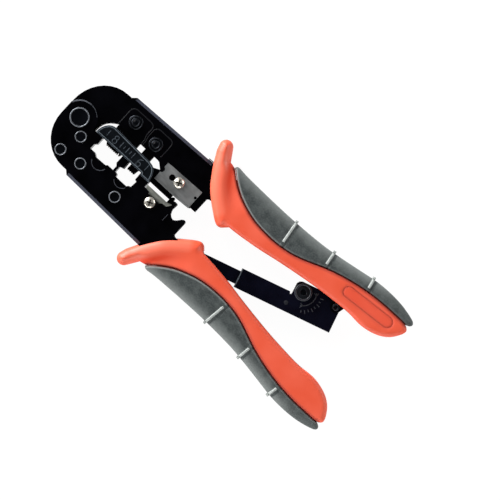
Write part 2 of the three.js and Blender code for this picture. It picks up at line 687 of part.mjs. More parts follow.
const crimper = new THREE.Group();
const frameGroup = new THREE.Group();
const jawGroup = new THREE.Group();
const strutGroup = new THREE.Group();
strutGroup.position.set(STRUT_MOUTH[0], STRUT_MOUTH[1], 0);
strutGroup.rotation.z = STRUT_ANGLE;
crimper.add(frameGroup, jawGroup, strutGroup);

part(frameGroup, 'lower_frame', lowerFrame(), FINISH.blackPaint);
part(frameGroup, 'nest_block', nestBlock(), FINISH.toolSteel);
part(frameGroup, 'marking_bar_front', markingBar(true), FINISH.barPaint);
part(frameGroup, 'marking_bar_back', markingBar(false), FINISH.barPaint);
const mainRivet = rivet(MAIN_PIVOT, MAIN_SHAFT_R, MAIN_RIVET_HEAD_R, FRAME.outer, REST_Z);
part(frameGroup, 'main_rivet', mainRivet, FINISH.rivetSteel);
FRAME_RIVETS.forEach((centre, i) => {
  const body = rivet(centre, FRAME_RIVET_R, FRAME_RIVET_HEAD_R, FRAME.outer, FRAME.outer + 0.7);
  part(frameGroup, `frame_rivet_${i + 1}`, body, FINISH.rivetSteel);
});
part(frameGroup, 'pivot_washer_front', pivotWasher(1), FINISH.nickel);
part(frameGroup, 'pivot_washer_back', pivotWasher(-1), FINISH.nickel);
part(frameGroup, 'stripping_blade', strippingBlade(), FINISH.bladeSteel);
const strippingTop = FRAME.outer + 0.85;
const strippingScrew = crossScrew(STRIPPING_SCREW, FRAME.inner, strippingTop, strippingTop + 1.2);
part(frameGroup, 'stripping_screw', strippingScrew, FINISH.nickel);
const rackPin = rod(strutPoint([STRUT.rackPivot, 0]), RACK_PIN_R, -FRAME.outer, FRAME.outer);
part(frameGroup, 'rack_pin', rackPin, FINISH.springSteel);
part(frameGroup, 'rack_spacer_front', rackSpacer(1), FINISH.springSteel);
part(frameGroup, 'rack_spacer_back', rackSpacer(-1), FINISH.springSteel);
const lowerPocket = gripPocket(false, FRAME.outer, FRAME.outer + GAP);
part(frameGroup, 'lower_grip', gripShell(false, lowerPocket), FINISH.orange);
part(frameGroup, 'lower_grip_insert', gripInsert(false, lowerPocket), FINISH.greyRubber);

part(jawGroup, 'upper_jaw', upperJaw(), FINISH.blackPaint);
for (const size of ['8p', '6p']) {
  part(jawGroup, `crimp_die_${size}`, crimpDie(size), FINISH.toolSteel);
  part(jawGroup, `contact_comb_${size}`, contactComb(size), FINISH.bladeSteel);
  part(jawGroup, `die_pin_${size}`, diePin(size), FINISH.rivetSteel);
}
part(jawGroup, 'cutter_blade', cutterBlade(), FINISH.bladeSteel);
const cutterScrew = crossScrew(CUTTER_SCREW, JAW.inner, BLADE.outer + 0.05, 8.0);
part(jawGroup, 'cutter_screw', cutterScrew, FINISH.nickel);
part(jawGroup, 'housing_pin', housingPin(), FINISH.springSteel);
const upperPocket = gripPocket(true, JAW.outer, JAW.outer + 0.6);
part(jawGroup, 'upper_grip', gripShell(true, upperPocket), FINISH.orange);
part(jawGroup, 'upper_grip_insert', gripInsert(true, upperPocket), FINISH.greyRubber);

part(strutGroup, 'ratchet_rack', ratchetRack(), FINISH.blackPaint);
part(strutGroup, 'strut_housing', strutHousing(), FINISH.blackPaint);
part(strutGroup, 'stop_pin', stopPin(), FINISH.springSteel);
part(strutGroup, 'handle_spring', handleSpring(), FINISH.springSteel);
part(strutGroup, 'pawl', pawl(), FINISH.springSteel);
part(strutGroup, 'pawl_spring', pawlSpring(), FINISH.springSteel);
part(strutGroup, 'release_shaft', releaseShaft(), FINISH.rivetSteel);
part(strutGroup, 'release_knob', releaseKnob(), FINISH.blackPaint);
part(strutGroup, 'knob_screw', knobScrew(), FINISH.rivetSteel);

// The origin goes to the middle of the footprint, on the surface that the tool lies on.
crimper.updateMatrixWorld(true);
const extent = new THREE.Box3().setFromObject(crimper, true);
const middle = extent.getCenter(new THREE.Vector3());
crimper.position.set(-middle.x, -middle.y, -extent.min.z);

export default crimper;
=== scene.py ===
# Look of the ratchet crimping tool: materials, moulded grips, turned rivet heads and fine marks.
#
# Shapes are in millimetres about the main pivot: +X runs from the head to the handle ends, +Y to
# the moving jaw's side, and Z = 0 is the tool's mid-plane.

import json
import math

import bmesh
import bpy
import numpy as np
from mathutils import Matrix, Vector
from mathutils.geometry import delaunay_2d_cdt
from mathutils.kdtree import KDTree

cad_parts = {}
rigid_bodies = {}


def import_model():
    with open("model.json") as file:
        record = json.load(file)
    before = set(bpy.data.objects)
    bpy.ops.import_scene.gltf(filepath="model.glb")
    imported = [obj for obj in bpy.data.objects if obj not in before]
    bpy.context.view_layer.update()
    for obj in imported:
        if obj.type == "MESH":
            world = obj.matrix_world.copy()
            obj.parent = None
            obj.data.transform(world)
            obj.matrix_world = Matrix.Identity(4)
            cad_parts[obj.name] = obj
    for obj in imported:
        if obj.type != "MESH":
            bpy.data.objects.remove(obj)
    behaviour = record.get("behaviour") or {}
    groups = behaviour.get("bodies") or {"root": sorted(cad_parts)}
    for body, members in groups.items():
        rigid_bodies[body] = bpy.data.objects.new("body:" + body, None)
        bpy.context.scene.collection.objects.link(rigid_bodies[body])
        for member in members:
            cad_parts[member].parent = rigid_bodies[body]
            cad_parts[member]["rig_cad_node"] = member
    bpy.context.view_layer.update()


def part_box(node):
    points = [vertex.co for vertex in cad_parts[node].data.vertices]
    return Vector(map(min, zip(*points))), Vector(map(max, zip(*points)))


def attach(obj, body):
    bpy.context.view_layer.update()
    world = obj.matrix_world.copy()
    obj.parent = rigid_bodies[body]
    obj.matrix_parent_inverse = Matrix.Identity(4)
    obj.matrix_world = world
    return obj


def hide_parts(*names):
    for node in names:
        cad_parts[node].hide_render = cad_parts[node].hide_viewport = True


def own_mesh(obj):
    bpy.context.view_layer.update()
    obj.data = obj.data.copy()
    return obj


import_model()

MM = 0.001
RIVET_LOW, RIVET_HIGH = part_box("main_rivet")
PIVOT = (RIVET_LOW + RIVET_HIGH) / 2
# The handles mirror each other about this line.
HANDLE_MIRROR_Y = 0.85
# Heights off the mid-plane: the grips' and main rivet's faces, then the outer faces of the lower
# frame, the upper jaw and the strut housing.
HALF_Z = 10.2
FRAME_OUTER = 8.1
JAW_OUTER = 5.3
HOUSING_OUTER = 3.3
# Room left between two faces that lie against each other.
CLEAR = 0.05


def place(x, y, z=0.0):
    """A point in the row frame, in metres."""
    return PIVOT + Vector((x, y, z)) * MM


# ---- Curves and outlines ----


def curve(points, step=0.5):
    """A smooth curve through the points, sampled about every step mm."""
    p = [np.array(q, float) for q in points]
    out = []
    for i in range(len(p) - 1):
        a, b = p[i], p[i + 1]
        before, after = p[max(i - 1, 0)], p[min(i + 2, len(p) - 1)]
        v0, v1 = (b - before) / 2, (after - a) / 2
        count = max(2, int(np.linalg.norm(b - a) / step))
        for k in range(count):
            t = k / count
            cubic = (2 * a - 2 * b + v0 + v1) * t**3
            square = (-3 * a + 3 * b - 2 * v0 - v1) * t**2
            out.append(cubic + square + v0 * t + a)
    out.append(p[-1])
    return [tuple(q) for q in out]


def arc(centre, radius, start, end, steps):
    """Points on an arc of a circle, angles in degrees."""
    angles = np.radians(np.linspace(start, end, steps + 1))
    return [(centre[0] + radius * math.cos(a), centre[1] + radius * math.sin(a)) for a in angles]


def swung(points, centre, angle):
    """The points turned by an angle in degrees and carried to the centre."""
    cos, sin = math.cos(math.radians(angle)), math.sin(math.radians(angle))
    return [(centre[0] + x * cos - y * sin, centre[1] + x * sin + y * cos) for x, y in points]


def on_circle(centre, radius, angle):
    """The point on a circle at an angle in degrees."""
    return arc(centre, radius, angle, angle, 1)[0]


def line(a, b, step=0.5):
    """Points from a to b, about step mm apart."""
    count = max(1, int(math.dist(a, b) / step))
    return [tuple(np.array(a) + (np.array(b) - np.array(a)) * k / count) for k in range(count + 1)]


def chain(*runs):
    """Runs of points joined end to end, without repeated points."""
    out = []
    for run in runs:
        for q in run:
            if not out or math.dist(q, out[-1]) > 0.02:
                out.append(tuple(q))
    return out


def offset(points, distance):
    """An open line moved sideways, to its left for a positive distance."""
    p = np.array(points)
    t = np.gradient(p, axis=0)
    t /= np.linalg.norm(t, axis=1)[:, None]
    return [tuple(q) for q in p + np.stack([-t[:, 1], t[:, 0]], 1) * distance]


# The lower handle in plan. The upper one is its mirror image.
GRIP_INNER = curve([
    (83.8, -7.4), (90, -7.9), (100, -9.2), (110, -11), (120, -12.6), (130, -14), (140, -15),
    (150, -15.6), (159, -15.2), (166.2, -16.8), (171.3, -19.9), (174.6, -24.4), (175.3, -27.3),
    (173.6, -28.9),
])
GRIP_SEAM = curve([
    (170, -29.1), (160, -29.1), (150, -28.3), (140, -26.5), (130, -23.7), (118, -19.1),
    (110, -17.1), (101, -16.4), (90, -17.4), (80, -20.7), (73, -24.8), (67.6, -29.1),
])
SEAM_LINE = chain(line((173.6, -28.9), (170, -29.1)), GRIP_SEAM)
GUARD_TIP = (58.1, -33.6)
GUARD_TIP_R = 3.27
GUARD_FRONT = curve([
    (55.8, -29.9), (58.8, -24.4), (61.8, -19.7), (65.2, -15.1), (69.9, -10.6), (74.9, -6.7),
    (77.4, -5.0),
])
GUARD_TOP = (79.5, -7.4)
GUARD_TOP_R = 3.1
TIP_ARC = arc(GUARD_TIP, GUARD_TIP_R, -28, -186, 24)
TOP_ARC = arc(GUARD_TOP, GUARD_TOP_R, 104, 38, 12)
HEEL = line((67.6, -29.1), (64.4, -29.8))
GUARD_EDGE = chain(HEEL, TIP_ARC, GUARD_FRONT, TOP_ARC)
INSERT_OUTER = curve([
    (173.8, -29.3), (174.9, -29.8), (175.6, -30.7), (175.5, -31.7), (174.6, -32.5),
    (173, -33.1), (170, -33.9), (165, -34.8),
    (158, -35.2), (150, -34.8), (140, -33.2), (130, -31.6), (120, -30.4), (105, -29.7),
    (90, -29.7), (75, -30.1), (69, -30.6), (67.6, -29.6),
])
TANG_END_X = 166
TANG_INNER = curve([
    (71, -10.9), (74, -9.3), (80, -8.9), (90, -9.7), (100, -11.2), (120, -14.4), (140, -16.8),
    (158, -17.4), (TANG_END_X, -20),
], 1.5)
TANG_OUTER = curve([
    (TANG_END_X, -26.5), (158, -30.6), (148, -31), (135, -29), (120, -27), (100, -26.3),
    (80, -26.2), (68, -25.4), (58.8, -24.7),
], 1.5)
GRIP_MOUTH = [(79, -12), (79, -8.2), (87, -4.5), (152, -4.5), (152, -19)]
RIBS = [((106.6, -18.7), (105.0, -30.2)), ((127.9, -24.9), (127.0, -31.7)),
        ((149.4, -30.0), (148.4, -35.1))]
PILL_CENTRE = (155, -23.5)
PILL_HALF = 11.0
PILL_R = 2.6
PILL_TILT = -4.5


def pill_outline():
    """A plain pill outline pressed into the upper grip, drawn on the lower handle's side."""
    ends = arc((PILL_HALF, 0), PILL_R, -90, 90, 16) + arc((-PILL_HALF, 0), PILL_R, 90, 270, 16)
    ends = swung(ends, PILL_CENTRE, PILL_TILT)
    closed = ends + ends[:1]
    return chain(*(line(a, b, 0.4) for a, b in zip(closed, closed[1:])))


PILL = pill_outline()


# ---- Distances ----


def distance_to(points, poly):
    """Distance from each point to a line of points, and the place of the nearest point on it."""
    p = np.asarray(points, float)
    a, b = np.array(poly[:-1]), np.array(poly[1:])
    best = np.full(len(p), 1e9)
    where = np.zeros(len(p))
    for i in range(len(a)):
        d = b[i] - a[i]
        t = np.clip(((p - a[i]) @ d) / max(d @ d, 1e-12), 0, 1)
        near = np.linalg.norm(p - (a[i] + t[:, None] * d), axis=1)
        closer = near < best
        best[closer] = near[closer]
        where[closer] = (i + t[closer]) / len(a)
    return best, where


def inside(points, poly):
    """Whether each point is inside the closed outline."""
    p = np.asarray(points, float)
    out = np.zeros(len(p), bool)
    q = np.array(poly)
    for (x0, y0), (x1, y1) in zip(q, np.roll(q, -1, axis=0)):
        if y0 == y1:
            continue
        crosses = (y0 > p[:, 1]) != (y1 > p[:, 1])
        out ^= crosses & (p[:, 0] < (x1 - x0) * (p[:, 1] - y0) / (y1 - y0) + x0)
    return out


def rounded(d, radius):
    """How far a round edge of this radius lies below the face it runs into."""
    t = 1 - np.clip(d / radius, 0, 1)
    return radius * (1 - np.sqrt(1 - t**2))


def bump(d, width):
    """A soft bump of height 1 where d is 0."""
    return np.exp(-((d / width) ** 2))


# ---- Objects ----


def node_object(name):
    """The object that holds a CAD node's mesh."""
    return next(o for o in bpy.context.scene.objects if o.get("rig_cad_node") == name)


def new_object(name, mesh, body, material, replaced=()):
    """A visible piece on a body, standing for the replaced nodes."""
    obj = bpy.data.objects.new(name, mesh)
    bpy.context.scene.collection.objects.link(obj)
    for m in material if isinstance(material, list) else [material]:
        obj.data.materials.append(m)
    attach(obj, body)
    if replaced:
        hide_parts(*replaced)
    return obj


def finished(mesh, name):
    """Mesh data from a bmesh whose faces all turn outwards, and the bmesh freed."""
    bmesh.ops.recalc_face_normals(mesh, faces=mesh.faces)
    data = bpy.data.meshes.new(name)
    mesh.to_mesh(data)
    mesh.free()
    return data


def smooth(mesh, angle):
    """Smooth shading, with edges sharper than the angle kept crisp."""
    for face in mesh.polygons:
        face.use_smooth = True
    mesh.set_sharp_from_angle(angle=math.radians(angle))


def puffed(outline, extra, height, spacing):
    """A closed solid over the outline whose two faces stand height(x, y) off the mid-plane."""
    step_y = spacing * math.sqrt(3) / 2
    q = np.array(outline)
    xs = np.arange(q[:, 0].min(), q[:, 0].max(), spacing)
    ys = np.arange(q[:, 1].min(), q[:, 1].max(), step_y)
    grid = [(x + spacing / 2 * (j % 2), y) for j, y in enumerate(ys) for x in xs]
    tree = KDTree(len(outline))
    for i, point in enumerate(outline):
        tree.insert((*point, 0), i)
    tree.balance()
    kept = []
    cell_size = 0.5
    taken = {}

    def free(point, room):
        """Whether no kept point is nearer than room; if so, the point takes its place."""
        cell = (int(point[0] // cell_size), int(point[1] // cell_size))
        for dx in (-1, 0, 1):
            for dy in (-1, 0, 1):
                for other in taken.get((cell[0] + dx, cell[1] + dy), ()):
                    if math.dist(other, point) < room:
                        return False
        taken.setdefault(cell, []).append(point)
        return True

    for points, room in ((extra, 0.12), (grid, 0.35)):
        within = inside(points, outline)
        for point, ok in zip(points, within):
            if ok and tree.find((*point, 0))[2] > room * 0.7 and free(tuple(point), room):
                kept.append(tuple(point))
    flat = [Vector(p) for p in [*outline, *kept]]
    corners, _, faces, *_ = delaunay_2d_cdt(flat, [], [list(range(len(outline)))], 1, 1e-6)
    co = np.array([tuple(v) for v in corners])
    z = height(co[:, 0], co[:, 1])
    mesh = bmesh.new()
    top = [mesh.verts.new(place(x, y, h)) for (x, y), h in zip(co, z)]
    bottom = [mesh.verts.new(place(x, y, -h)) for (x, y), h in zip(co, z)]
    for f in faces:
        mesh.faces.new([top[i] for i in f])
        mesh.faces.new([bottom[i] for i in reversed(f)])
    mesh.verts.index_update()
    rim = [e for e in mesh.edges if e.is_boundary and e.verts[0].index < len(co)]
    for e in rim:
        a, b = (v.index for v in e.verts)
        mesh.faces.new([top[a], top[b], bottom[b], bottom[a]])
    return finished(mesh, "puffed")


def prism(outline, z0, z1):
    """The outline carried from height z0 to z1."""
    mesh = bmesh.new()
    low = [mesh.verts.new(place(x, y, z0)) for x, y in outline]
    high = [mesh.verts.new(place(x, y, z1)) for x, y in outline]
    mesh.faces.new(low)
    mesh.faces.new(high)
    count = len(outline)
    for i in range(count):
        j = (i + 1) % count
        mesh.faces.new([low[i], low[j], high[j], high[i]])
    return finished(mesh, "prism")


def cut(data, cutters):
    """The mesh with the cutter meshes taken out of it."""
    subject = bpy.data.objects.new("subject", data)
    bpy.context.scene.collection.objects.link(subject)
    tools = []
    for cutter in cutters:
        tool = bpy.data.objects.new("cutter", cutter)
        bpy.context.scene.collection.objects.link(tool)
        modifier = subject.modifiers.new("cut", "BOOLEAN")
        modifier.operation = "DIFFERENCE"
        modifier.solver = "EXACT"
        modifier.object = tool
        tools.append(tool)
    graph = bpy.context.evaluated_depsgraph_get()
    result = bpy.data.meshes.new_from_object(subject.evaluated_get(graph))
    for obj in (*tools, subject):
        bpy.data.objects.remove(obj)
    return result


def mirrored(points):
    """The points on the other handle's side."""
    return [(x, 2 * HANDLE_MIRROR_Y - y) for x, y in points]


# ---- Materials ----


def linear(code):
    """A colour written as six hex digits, in linear light."""
    channels = [int(code[i : i + 2], 16) / 255 for i in (0, 2, 4)]
    return [c / 12.92 if c <= 0.04045 else ((c + 0.055) / 1.055) ** 2.4 for c in channels] + [1]


class Nodes:
    """A material's nodes, with short calls for the ones that these finishes share."""

    def __init__(self, name, **surface):
        self.material = bpy.data.materials.new(name)
        self.material.use_nodes = True
        self.tree = self.material.node_tree
        self.shader = self.tree.nodes["Principled BSDF"]
        for key, value in surface.items():
            self.shader.inputs[key.replace("_", " ")].default_value = value
        self.where = self.tree.nodes.new("ShaderNodeTexCoord").outputs["Object"]

    def add(self, kind, inputs=(), **settings):
        """A node whose inputs are numbers or other nodes' sockets."""
        node = self.tree.nodes.new(kind)
        for key, value in settings.items():
            setattr(node, key, value)
        for key, value in dict(inputs).items():
            if isinstance(value, bpy.types.NodeSocket):
                self.tree.links.new(value, node.inputs[key])
            else:
                node.inputs[key].default_value = value
        return node

    def noise(self, size, detail=3.0, stretch=(1, 1, 1)):
        """Noise whose lumps are about size mm across."""
        scaled = self.add("ShaderNodeMapping", {"Vector": self.where, "Scale": stretch})
        made = self.add("ShaderNodeTexNoise",
                        {"Vector": scaled.outputs[0], "Scale": 1 / (size * MM), "Detail": detail})
        return made.outputs["Fac"]

    def ramp(self, value, *stops):
        """Colours at positions from 0 to 1 along the value."""
        node = self.add("ShaderNodeValToRGB", {"Fac": value})
        ramp = node.color_ramp
        while len(ramp.elements) < len(stops):
            ramp.elements.new(0.5)
        for element, (position, colour) in zip(ramp.elements, stops):
            element.position = position
            element.color = colour
        return node.outputs["Color"]

    def range(self, value, low, high, to_low, to_high):
        """The value carried from low..high to to_low..to_high, and held there beyond."""
        node = self.add("ShaderNodeMapRange", {"Value": value, "From Min": low, "From Max": high,
                                               "To Min": to_low, "To Max": to_high})
        return node.outputs["Result"]

    def mix(self, factor, a, b):
        """Colour a where the factor is 0 and b where it is 1."""
        node = self.add("ShaderNodeMix", data_type="RGBA")
        # Sockets 0, 6 and 7 are the factor and the two colours.
        for socket, value in ((0, factor), (6, a), (7, b)):
            if isinstance(value, bpy.types.NodeSocket):
                self.tree.links.new(value, node.inputs[socket])
            else:
                node.inputs[socket].default_value = value
        return node.outputs[2]

    def sum(self, a, b):
        return self.add("ShaderNodeMath", {0: a, 1: b}, operation="ADD").outputs[0]

    def larger(self, a, b):
        return self.add("ShaderNodeMath", {0: a, 1: b}, operation="MAXIMUM").outputs[0]

    def attribute(self, name):
        """A number stored at the mesh's points."""
        return self.add("ShaderNodeAttribute", attribute_name=name).outputs["Fac"]

    def bump(self, height, depth):
        """Relief depth mm deep."""
        inputs = {"Height": height, "Strength": 1.0, "Distance": depth * MM}
        return self.add("ShaderNodeBump", inputs).outputs["Normal"]

    def tilted(self, low=0.35, high=0.97):
        """High on rounded edges and chamfers: faces neither flat in plan nor upright."""
        normal = self.tree.nodes["Texture Coordinate"].outputs["Normal"]
        parts = self.add("ShaderNodeSeparateXYZ", {"Vector": normal})
        size = self.add("ShaderNodeMath", {0: parts.outputs["Z"]}, operation="ABSOLUTE").outputs[0]
        above = self.range(size, low - 0.2, low, 0.0, 1.0)
        below = self.range(size, high - 0.12, high, 1.0, 0.0)
        return self.add("ShaderNodeMath", {0: above, 1: below}, operation="MULTIPLY").outputs[0]

    def set(self, **links):
        """Links the shader's inputs and gives the material."""
        for key, value in links.items():
            self.tree.links.new(value, self.shader.inputs[key.replace("_", " ")])
        return self.material


ALONG_X = (0.15, 1, 1)


def orange_plastic():
    """Moulded shell: painted shade, redder, in the crease behind the guard, painted shade at the
    seam and in the pill's outline, a darker tone inside the pill, and a glossier guard with a
    painted highlight on its front.
    """
    m = Nodes("orange_plastic", Specular_IOR_Level=0.6)
    cloud = m.noise(14, 2)
    crease, shade = m.attribute("crease"), m.attribute("shade")
    gloss_and_painted_highlight = m.attribute("gloss_and_painted_highlight")
    colour = m.ramp(cloud, (0.3, linear("E5502E")), (0.7, linear("EB5C3E")))
    # Painted highlight: paler on the guard's front, where the shell is also glossier.
    colour = m.mix(m.range(gloss_and_painted_highlight, 0.2, 1.0, 0.0, 0.4), colour, linear("F0836B"))
    # Painted shade in the crease behind the guard's bead; inside the pill a darker tone.
    colour = m.mix(crease, colour, linear("D93200"))
    colour = m.mix(shade, colour, linear("8A1C0C"))
    rough = m.range(cloud, 0.3, 0.7, 0.5, 0.58)
    rough = m.sum(rough, m.range(gloss_and_painted_highlight, 0.0, 1.0, 0.0, -0.14))
    rough = m.sum(rough, m.range(m.larger(crease, shade), 0.0, 0.6, 0.0, 0.3))
    return m.set(Base_Color=colour, Roughness=rough, Normal=m.bump(m.noise(0.35, 2), 0.012))


def grey_rubber():
    """Mottled soft rubber with a painted highlight along its outer edge and its lip, and painted
    shade at the seam, red-brown with the shell's reflected colour.
    """
    m = Nodes("grey_rubber", Specular_IOR_Level=0.35)
    cloud = m.noise(3.2, 6)
    colour = m.ramp(cloud, (0.32, linear("2E3434")), (0.5, linear("3A4040")),
                    (0.68, linear("494F4E")))
    speck = m.range(m.noise(0.8, 3), 0.4, 0.7, 0.0, 0.3)
    colour = m.mix(speck, colour, linear("5E6463"))
    # Painted highlight: paler along the outer edge and the lip by the seam, less beside each rib.
    colour = m.mix(m.attribute("pale"), colour, linear("8E9391"))
    # Painted shade in the groove at the seam, red-brown with the shell's reflected colour.
    colour = m.mix(m.attribute("shade"), colour, linear("A23421"))
    return m.set(Base_Color=colour, Roughness=m.range(cloud, 0.3, 0.7, 0.6, 0.75),
                 Normal=m.bump(m.noise(0.5, 4), 0.03))


def rib_rubber():
    """The raised ribs, paler than the insert."""
    m = Nodes("rib_rubber", Roughness=0.55)
    colour = m.ramp(m.noise(3, 4), (0.3, linear("9BA09D")), (0.7, linear("B4B9B6")))
    return m.set(Base_Color=colour, Normal=m.bump(m.noise(0.5, 4), 0.02))


def black_paint(name="black_paint", dark="010102", light="040407", edge="3A3D49"):
    """Glossy paint with a fine orange peel, paler on its edges and chamfers as a painted
    highlight.
    """
    m = Nodes(name, Specular_IOR_Level=0.12, Coat_Weight=0.1, Coat_Roughness=0.06)
    cloud = m.noise(9, 4)
    colour = m.ramp(cloud, (0.3, linear(dark)), (0.7, linear(light)))
    # Painted highlight on rounded edges and chamfers.
    colour = m.mix(m.tilted(), colour, linear(edge))
    return m.set(Base_Color=colour, Roughness=m.range(cloud, 0.3, 0.7, 0.16, 0.22),
                 Normal=m.bump(m.noise(1.2, 3), 0.002))


def bar_paint():
    """The marking bar's dark grey paint."""
    m = Nodes("bar_paint", Specular_IOR_Level=0.12)
    cloud = m.noise(4, 5)
    colour = m.ramp(cloud, (0.3, linear("090B0E")), (0.7, linear("12161A")))
    # Painted highlight on rounded edges and chamfers.
    colour = m.mix(m.tilted(), colour, linear("4E565D"))
    return m.set(Base_Color=colour, Roughness=m.range(cloud, 0.3, 0.7, 0.2, 0.26),
                 Normal=m.bump(m.noise(0.6, 3), 0.004))


def matt(name, dark, light):
    """Flat paint for low marks."""
    m = Nodes(name, Specular_IOR_Level=0.2, Roughness=0.5)
    colour = m.ramp(m.noise(1.5, 4), (0.3, linear(dark)), (0.7, linear(light)))
    return m.set(Base_Color=colour, Normal=m.bump(m.noise(0.4, 3), 0.01))


def blade_finish():
    """Ground steel, near black on the stripping blade's screw tab."""
    m = Nodes("stripping_steel", Metallic=0.9)
    lines = m.noise(0.5, 4, ALONG_X)
    where = m.add("ShaderNodeSeparateXYZ", {"Vector": m.where}).outputs["Y"]
    tab_edge = place(0, -4.6).y
    off_tab = m.range(where, tab_edge, tab_edge + 1.3 * MM, 0.0, 1.0)
    colour = m.ramp(lines, (0.3, linear("9A9D96")), (0.7, linear("B9BBB2")))
    colour = m.mix(off_tab, linear("08080A"), colour)
    return m.set(Base_Color=colour, Roughness=m.range(lines, 0.3, 0.7, 0.36, 0.46),
                 Normal=m.bump(lines, 0.006))


def steel(name, dark, light, low, high, metallic=1.0):
    """Bare steel with the fine lines of grinding along X, and roughness from low to high."""
    m = Nodes(name, Metallic=metallic)
    lines = m.noise(0.5, 4, ALONG_X)
    blotch = m.noise(6, 4)
    colour = m.mix(m.range(blotch, 0.35, 0.65, 0.25, 0.75), linear(dark), linear(light))
    colour = m.mix(m.range(lines, 0.3, 0.7, 0.0, 0.35), colour, linear(light))
    return m.set(Base_Color=colour, Roughness=m.range(lines, 0.3, 0.7, low, high),
                 Normal=m.bump(lines, 0.006))


MATERIALS = {
    "black_paint": black_paint(),
    "strut_paint": black_paint("strut_paint", "070710", "0E0F1D", "2A2D38"),
    "knob_paint": black_paint("knob_paint", "121417", "191B1F", "3A3D43"),
    "bar_paint": bar_paint(),
    "orange_plastic": orange_plastic(),
    "grey_rubber": grey_rubber(),
    "rivet_steel": black_paint("rivet_steel", "040507", "080A0E", "2A2D33"),
    "tool_steel": black_paint("tool_steel", "040405", "08080A", "1E2025"),
    "blade_steel": steel("blade_steel", "6E7071", "B2B4B4", 0.36, 0.5, metallic=0.85),
    "spring_steel": steel("spring_steel", "4A4C50", "76797E", 0.3, 0.42),
    "nickel": steel("nickel", "B8B2A4", "F0ECE2", 0.2, 0.32, metallic=0.75),
}
RIM_STEEL = steel("rim_steel", "50545A", "7E8288", 0.3, 0.4, metallic=0.55)
RIB = rib_rubber()
# Painted shade for the screws' cross recesses.
RECESS_SHADE = steel("screw_recess_shade", "2A2620", "4A4438", 0.4, 0.6, metallic=0.5)
PIN_STEEL = steel("pin_steel", "25272B", "3A3D42", 0.3, 0.4)
KNOB_RING = black_paint("knob_ring", "16181C", "1E2126", "4A4D53")
MARK_STEEL = matt("mark_steel", "4A5259", "5C656C")
MARK_DIGITS = matt("mark_digits", "2A3036", "454D54")
RELIEF_PAINT = matt("relief_paint", "111215", "191A1E")
MARK_GREY = matt("mark_grey", "2E3035", "3D4046")
PIN_DOT = matt("pin_dot", "1C1E24", "2A2D33")
# Painted highlight on the rim round the main rivet.
BOSS_HIGHLIGHT = matt("boss_highlight_grey", "44474E", "63666D")


# ---- Grips ----

# Each handle's side and body, half the thickness of the room for its tang and of the strut's
# mouth, and whether it is the mirror image.
HANDLES = (("lower", "lower_frame", FRAME_OUTER + CLEAR, 8.4, False),
           ("upper", "upper_jaw", JAW_OUTER + CLEAR, 5.9, True))


def tang_room(half, flip):
    """A cutter for the tang's room inside a grip, with a little play round it."""
    play = 0.06
    tang = [(56, -10.9 + play), *offset(TANG_INNER, play)]
    tang += [(TANG_END_X + play, -20), (TANG_END_X + play, -26.5), *offset(TANG_OUTER, play)]
    tang += [(56, -24.62 - play)]
    return prism(mirrored(tang) if flip else tang, -half, half)


def mouth_room(half, flip):
    """A cutter for the mouth that the strut folds into."""
    return prism(mirrored(GRIP_MOUTH) if flip else GRIP_MOUTH, -half, half)


def near_lines(poly, distances):
    """Copies of the line's points at each distance to its left."""
    return [q for d in distances for q in offset(poly, d)]


def ease(t):
    """A smooth step from 0 to 1."""
    t = np.clip(t, 0, 1)
    return t * t * (3 - 2 * t)


GRIP_FACE = HALF_Z - 0.02
GUARD_EDGE_R = 4.8
INNER_EDGE_R = 2.2
SEAM_EDGE_R = 0.75
SEAM_DROP = 1.3
# The face steps down behind the guard's bead, this far from the guard's front, and rises again
# from the second distance on.
GUARD_STEP = 0.85
STEP_START = 5.2
STEP_END = 9.8
PILL_DEPTH = 0.32


def grip_height(x, y, pill=False):
    """The orange shell's face off the mid-plane."""
    p = np.stack([x, y], 1)
    inner, _ = distance_to(p, GRIP_INNER)
    seam, _ = distance_to(p, SEAM_LINE)
    front, along = distance_to(p, GUARD_FRONT)
    edge, _ = distance_to(p, GUARD_EDGE)
    step = ease(along / 0.2) * ease((1.05 - along) / 0.5)
    down = ease((front - STEP_START) / 4.6)
    up = ease((front - STEP_END) / 13)
    level = GRIP_FACE - GUARD_STEP * step * (down - up)
    edges = np.maximum(rounded(edge, GUARD_EDGE_R), rounded(inner, INNER_EDGE_R))
    seam_drop = SEAM_DROP / SEAM_EDGE_R * rounded(seam, SEAM_EDGE_R)
    made = level - edges - seam_drop
    if pill:
        made = made - PILL_DEPTH * bump(distance_to(p, PILL)[0], 0.34)
    return made


def rib_offsets(p):
    """Signed distance across each rib for the points, positive towards the handle's end."""
    for (x0, y0), (x1, y1) in RIBS:
        length = math.dist((x0, y0), (x1, y1))
        yield ((p[:, 0] - x0) * (y0 - y1) - (p[:, 1] - y0) * (x0 - x1)) / length


INSERT_FACE = 9.72
INSERT_EDGE_R = 4.6
INSERT_EDGE = INSERT_OUTER[2:-2]
# A raised lip runs along the insert at this distance from the seam.
LIP_IN = 0.85


def insert_height(x, y):
    """The rubber insert's face off the mid-plane, with its lip and a groove beside each rib."""
    p = np.stack([x, y], 1)
    outer, _ = distance_to(p, INSERT_EDGE)
    seam, _ = distance_to(p, SEAM_LINE)
    base = INSERT_FACE + 0.12 * (1 - np.exp(-outer / 5)) - rounded(outer, INSERT_EDGE_R)
    base = base - 1.05 * (1 - np.clip((seam - 0.3) / 0.35, 0, 1))
    base = base + 0.32 * bump(seam - LIP_IN, 0.4)
    for across in rib_offsets(p):
        base = base - 0.4 * bump(across - 1.35, 0.5) - 0.15 * bump(across + 1.1, 0.45)
    return np.clip(base, 0.4, HALF_Z - 0.1)


def set_attribute(data, name, values):
    """Stores a number at each of the mesh's points, for the materials."""
    layer = data.attributes.new(name, "FLOAT", "POINT")
    layer.data.foreach_set("value", np.asarray(values, np.float32))


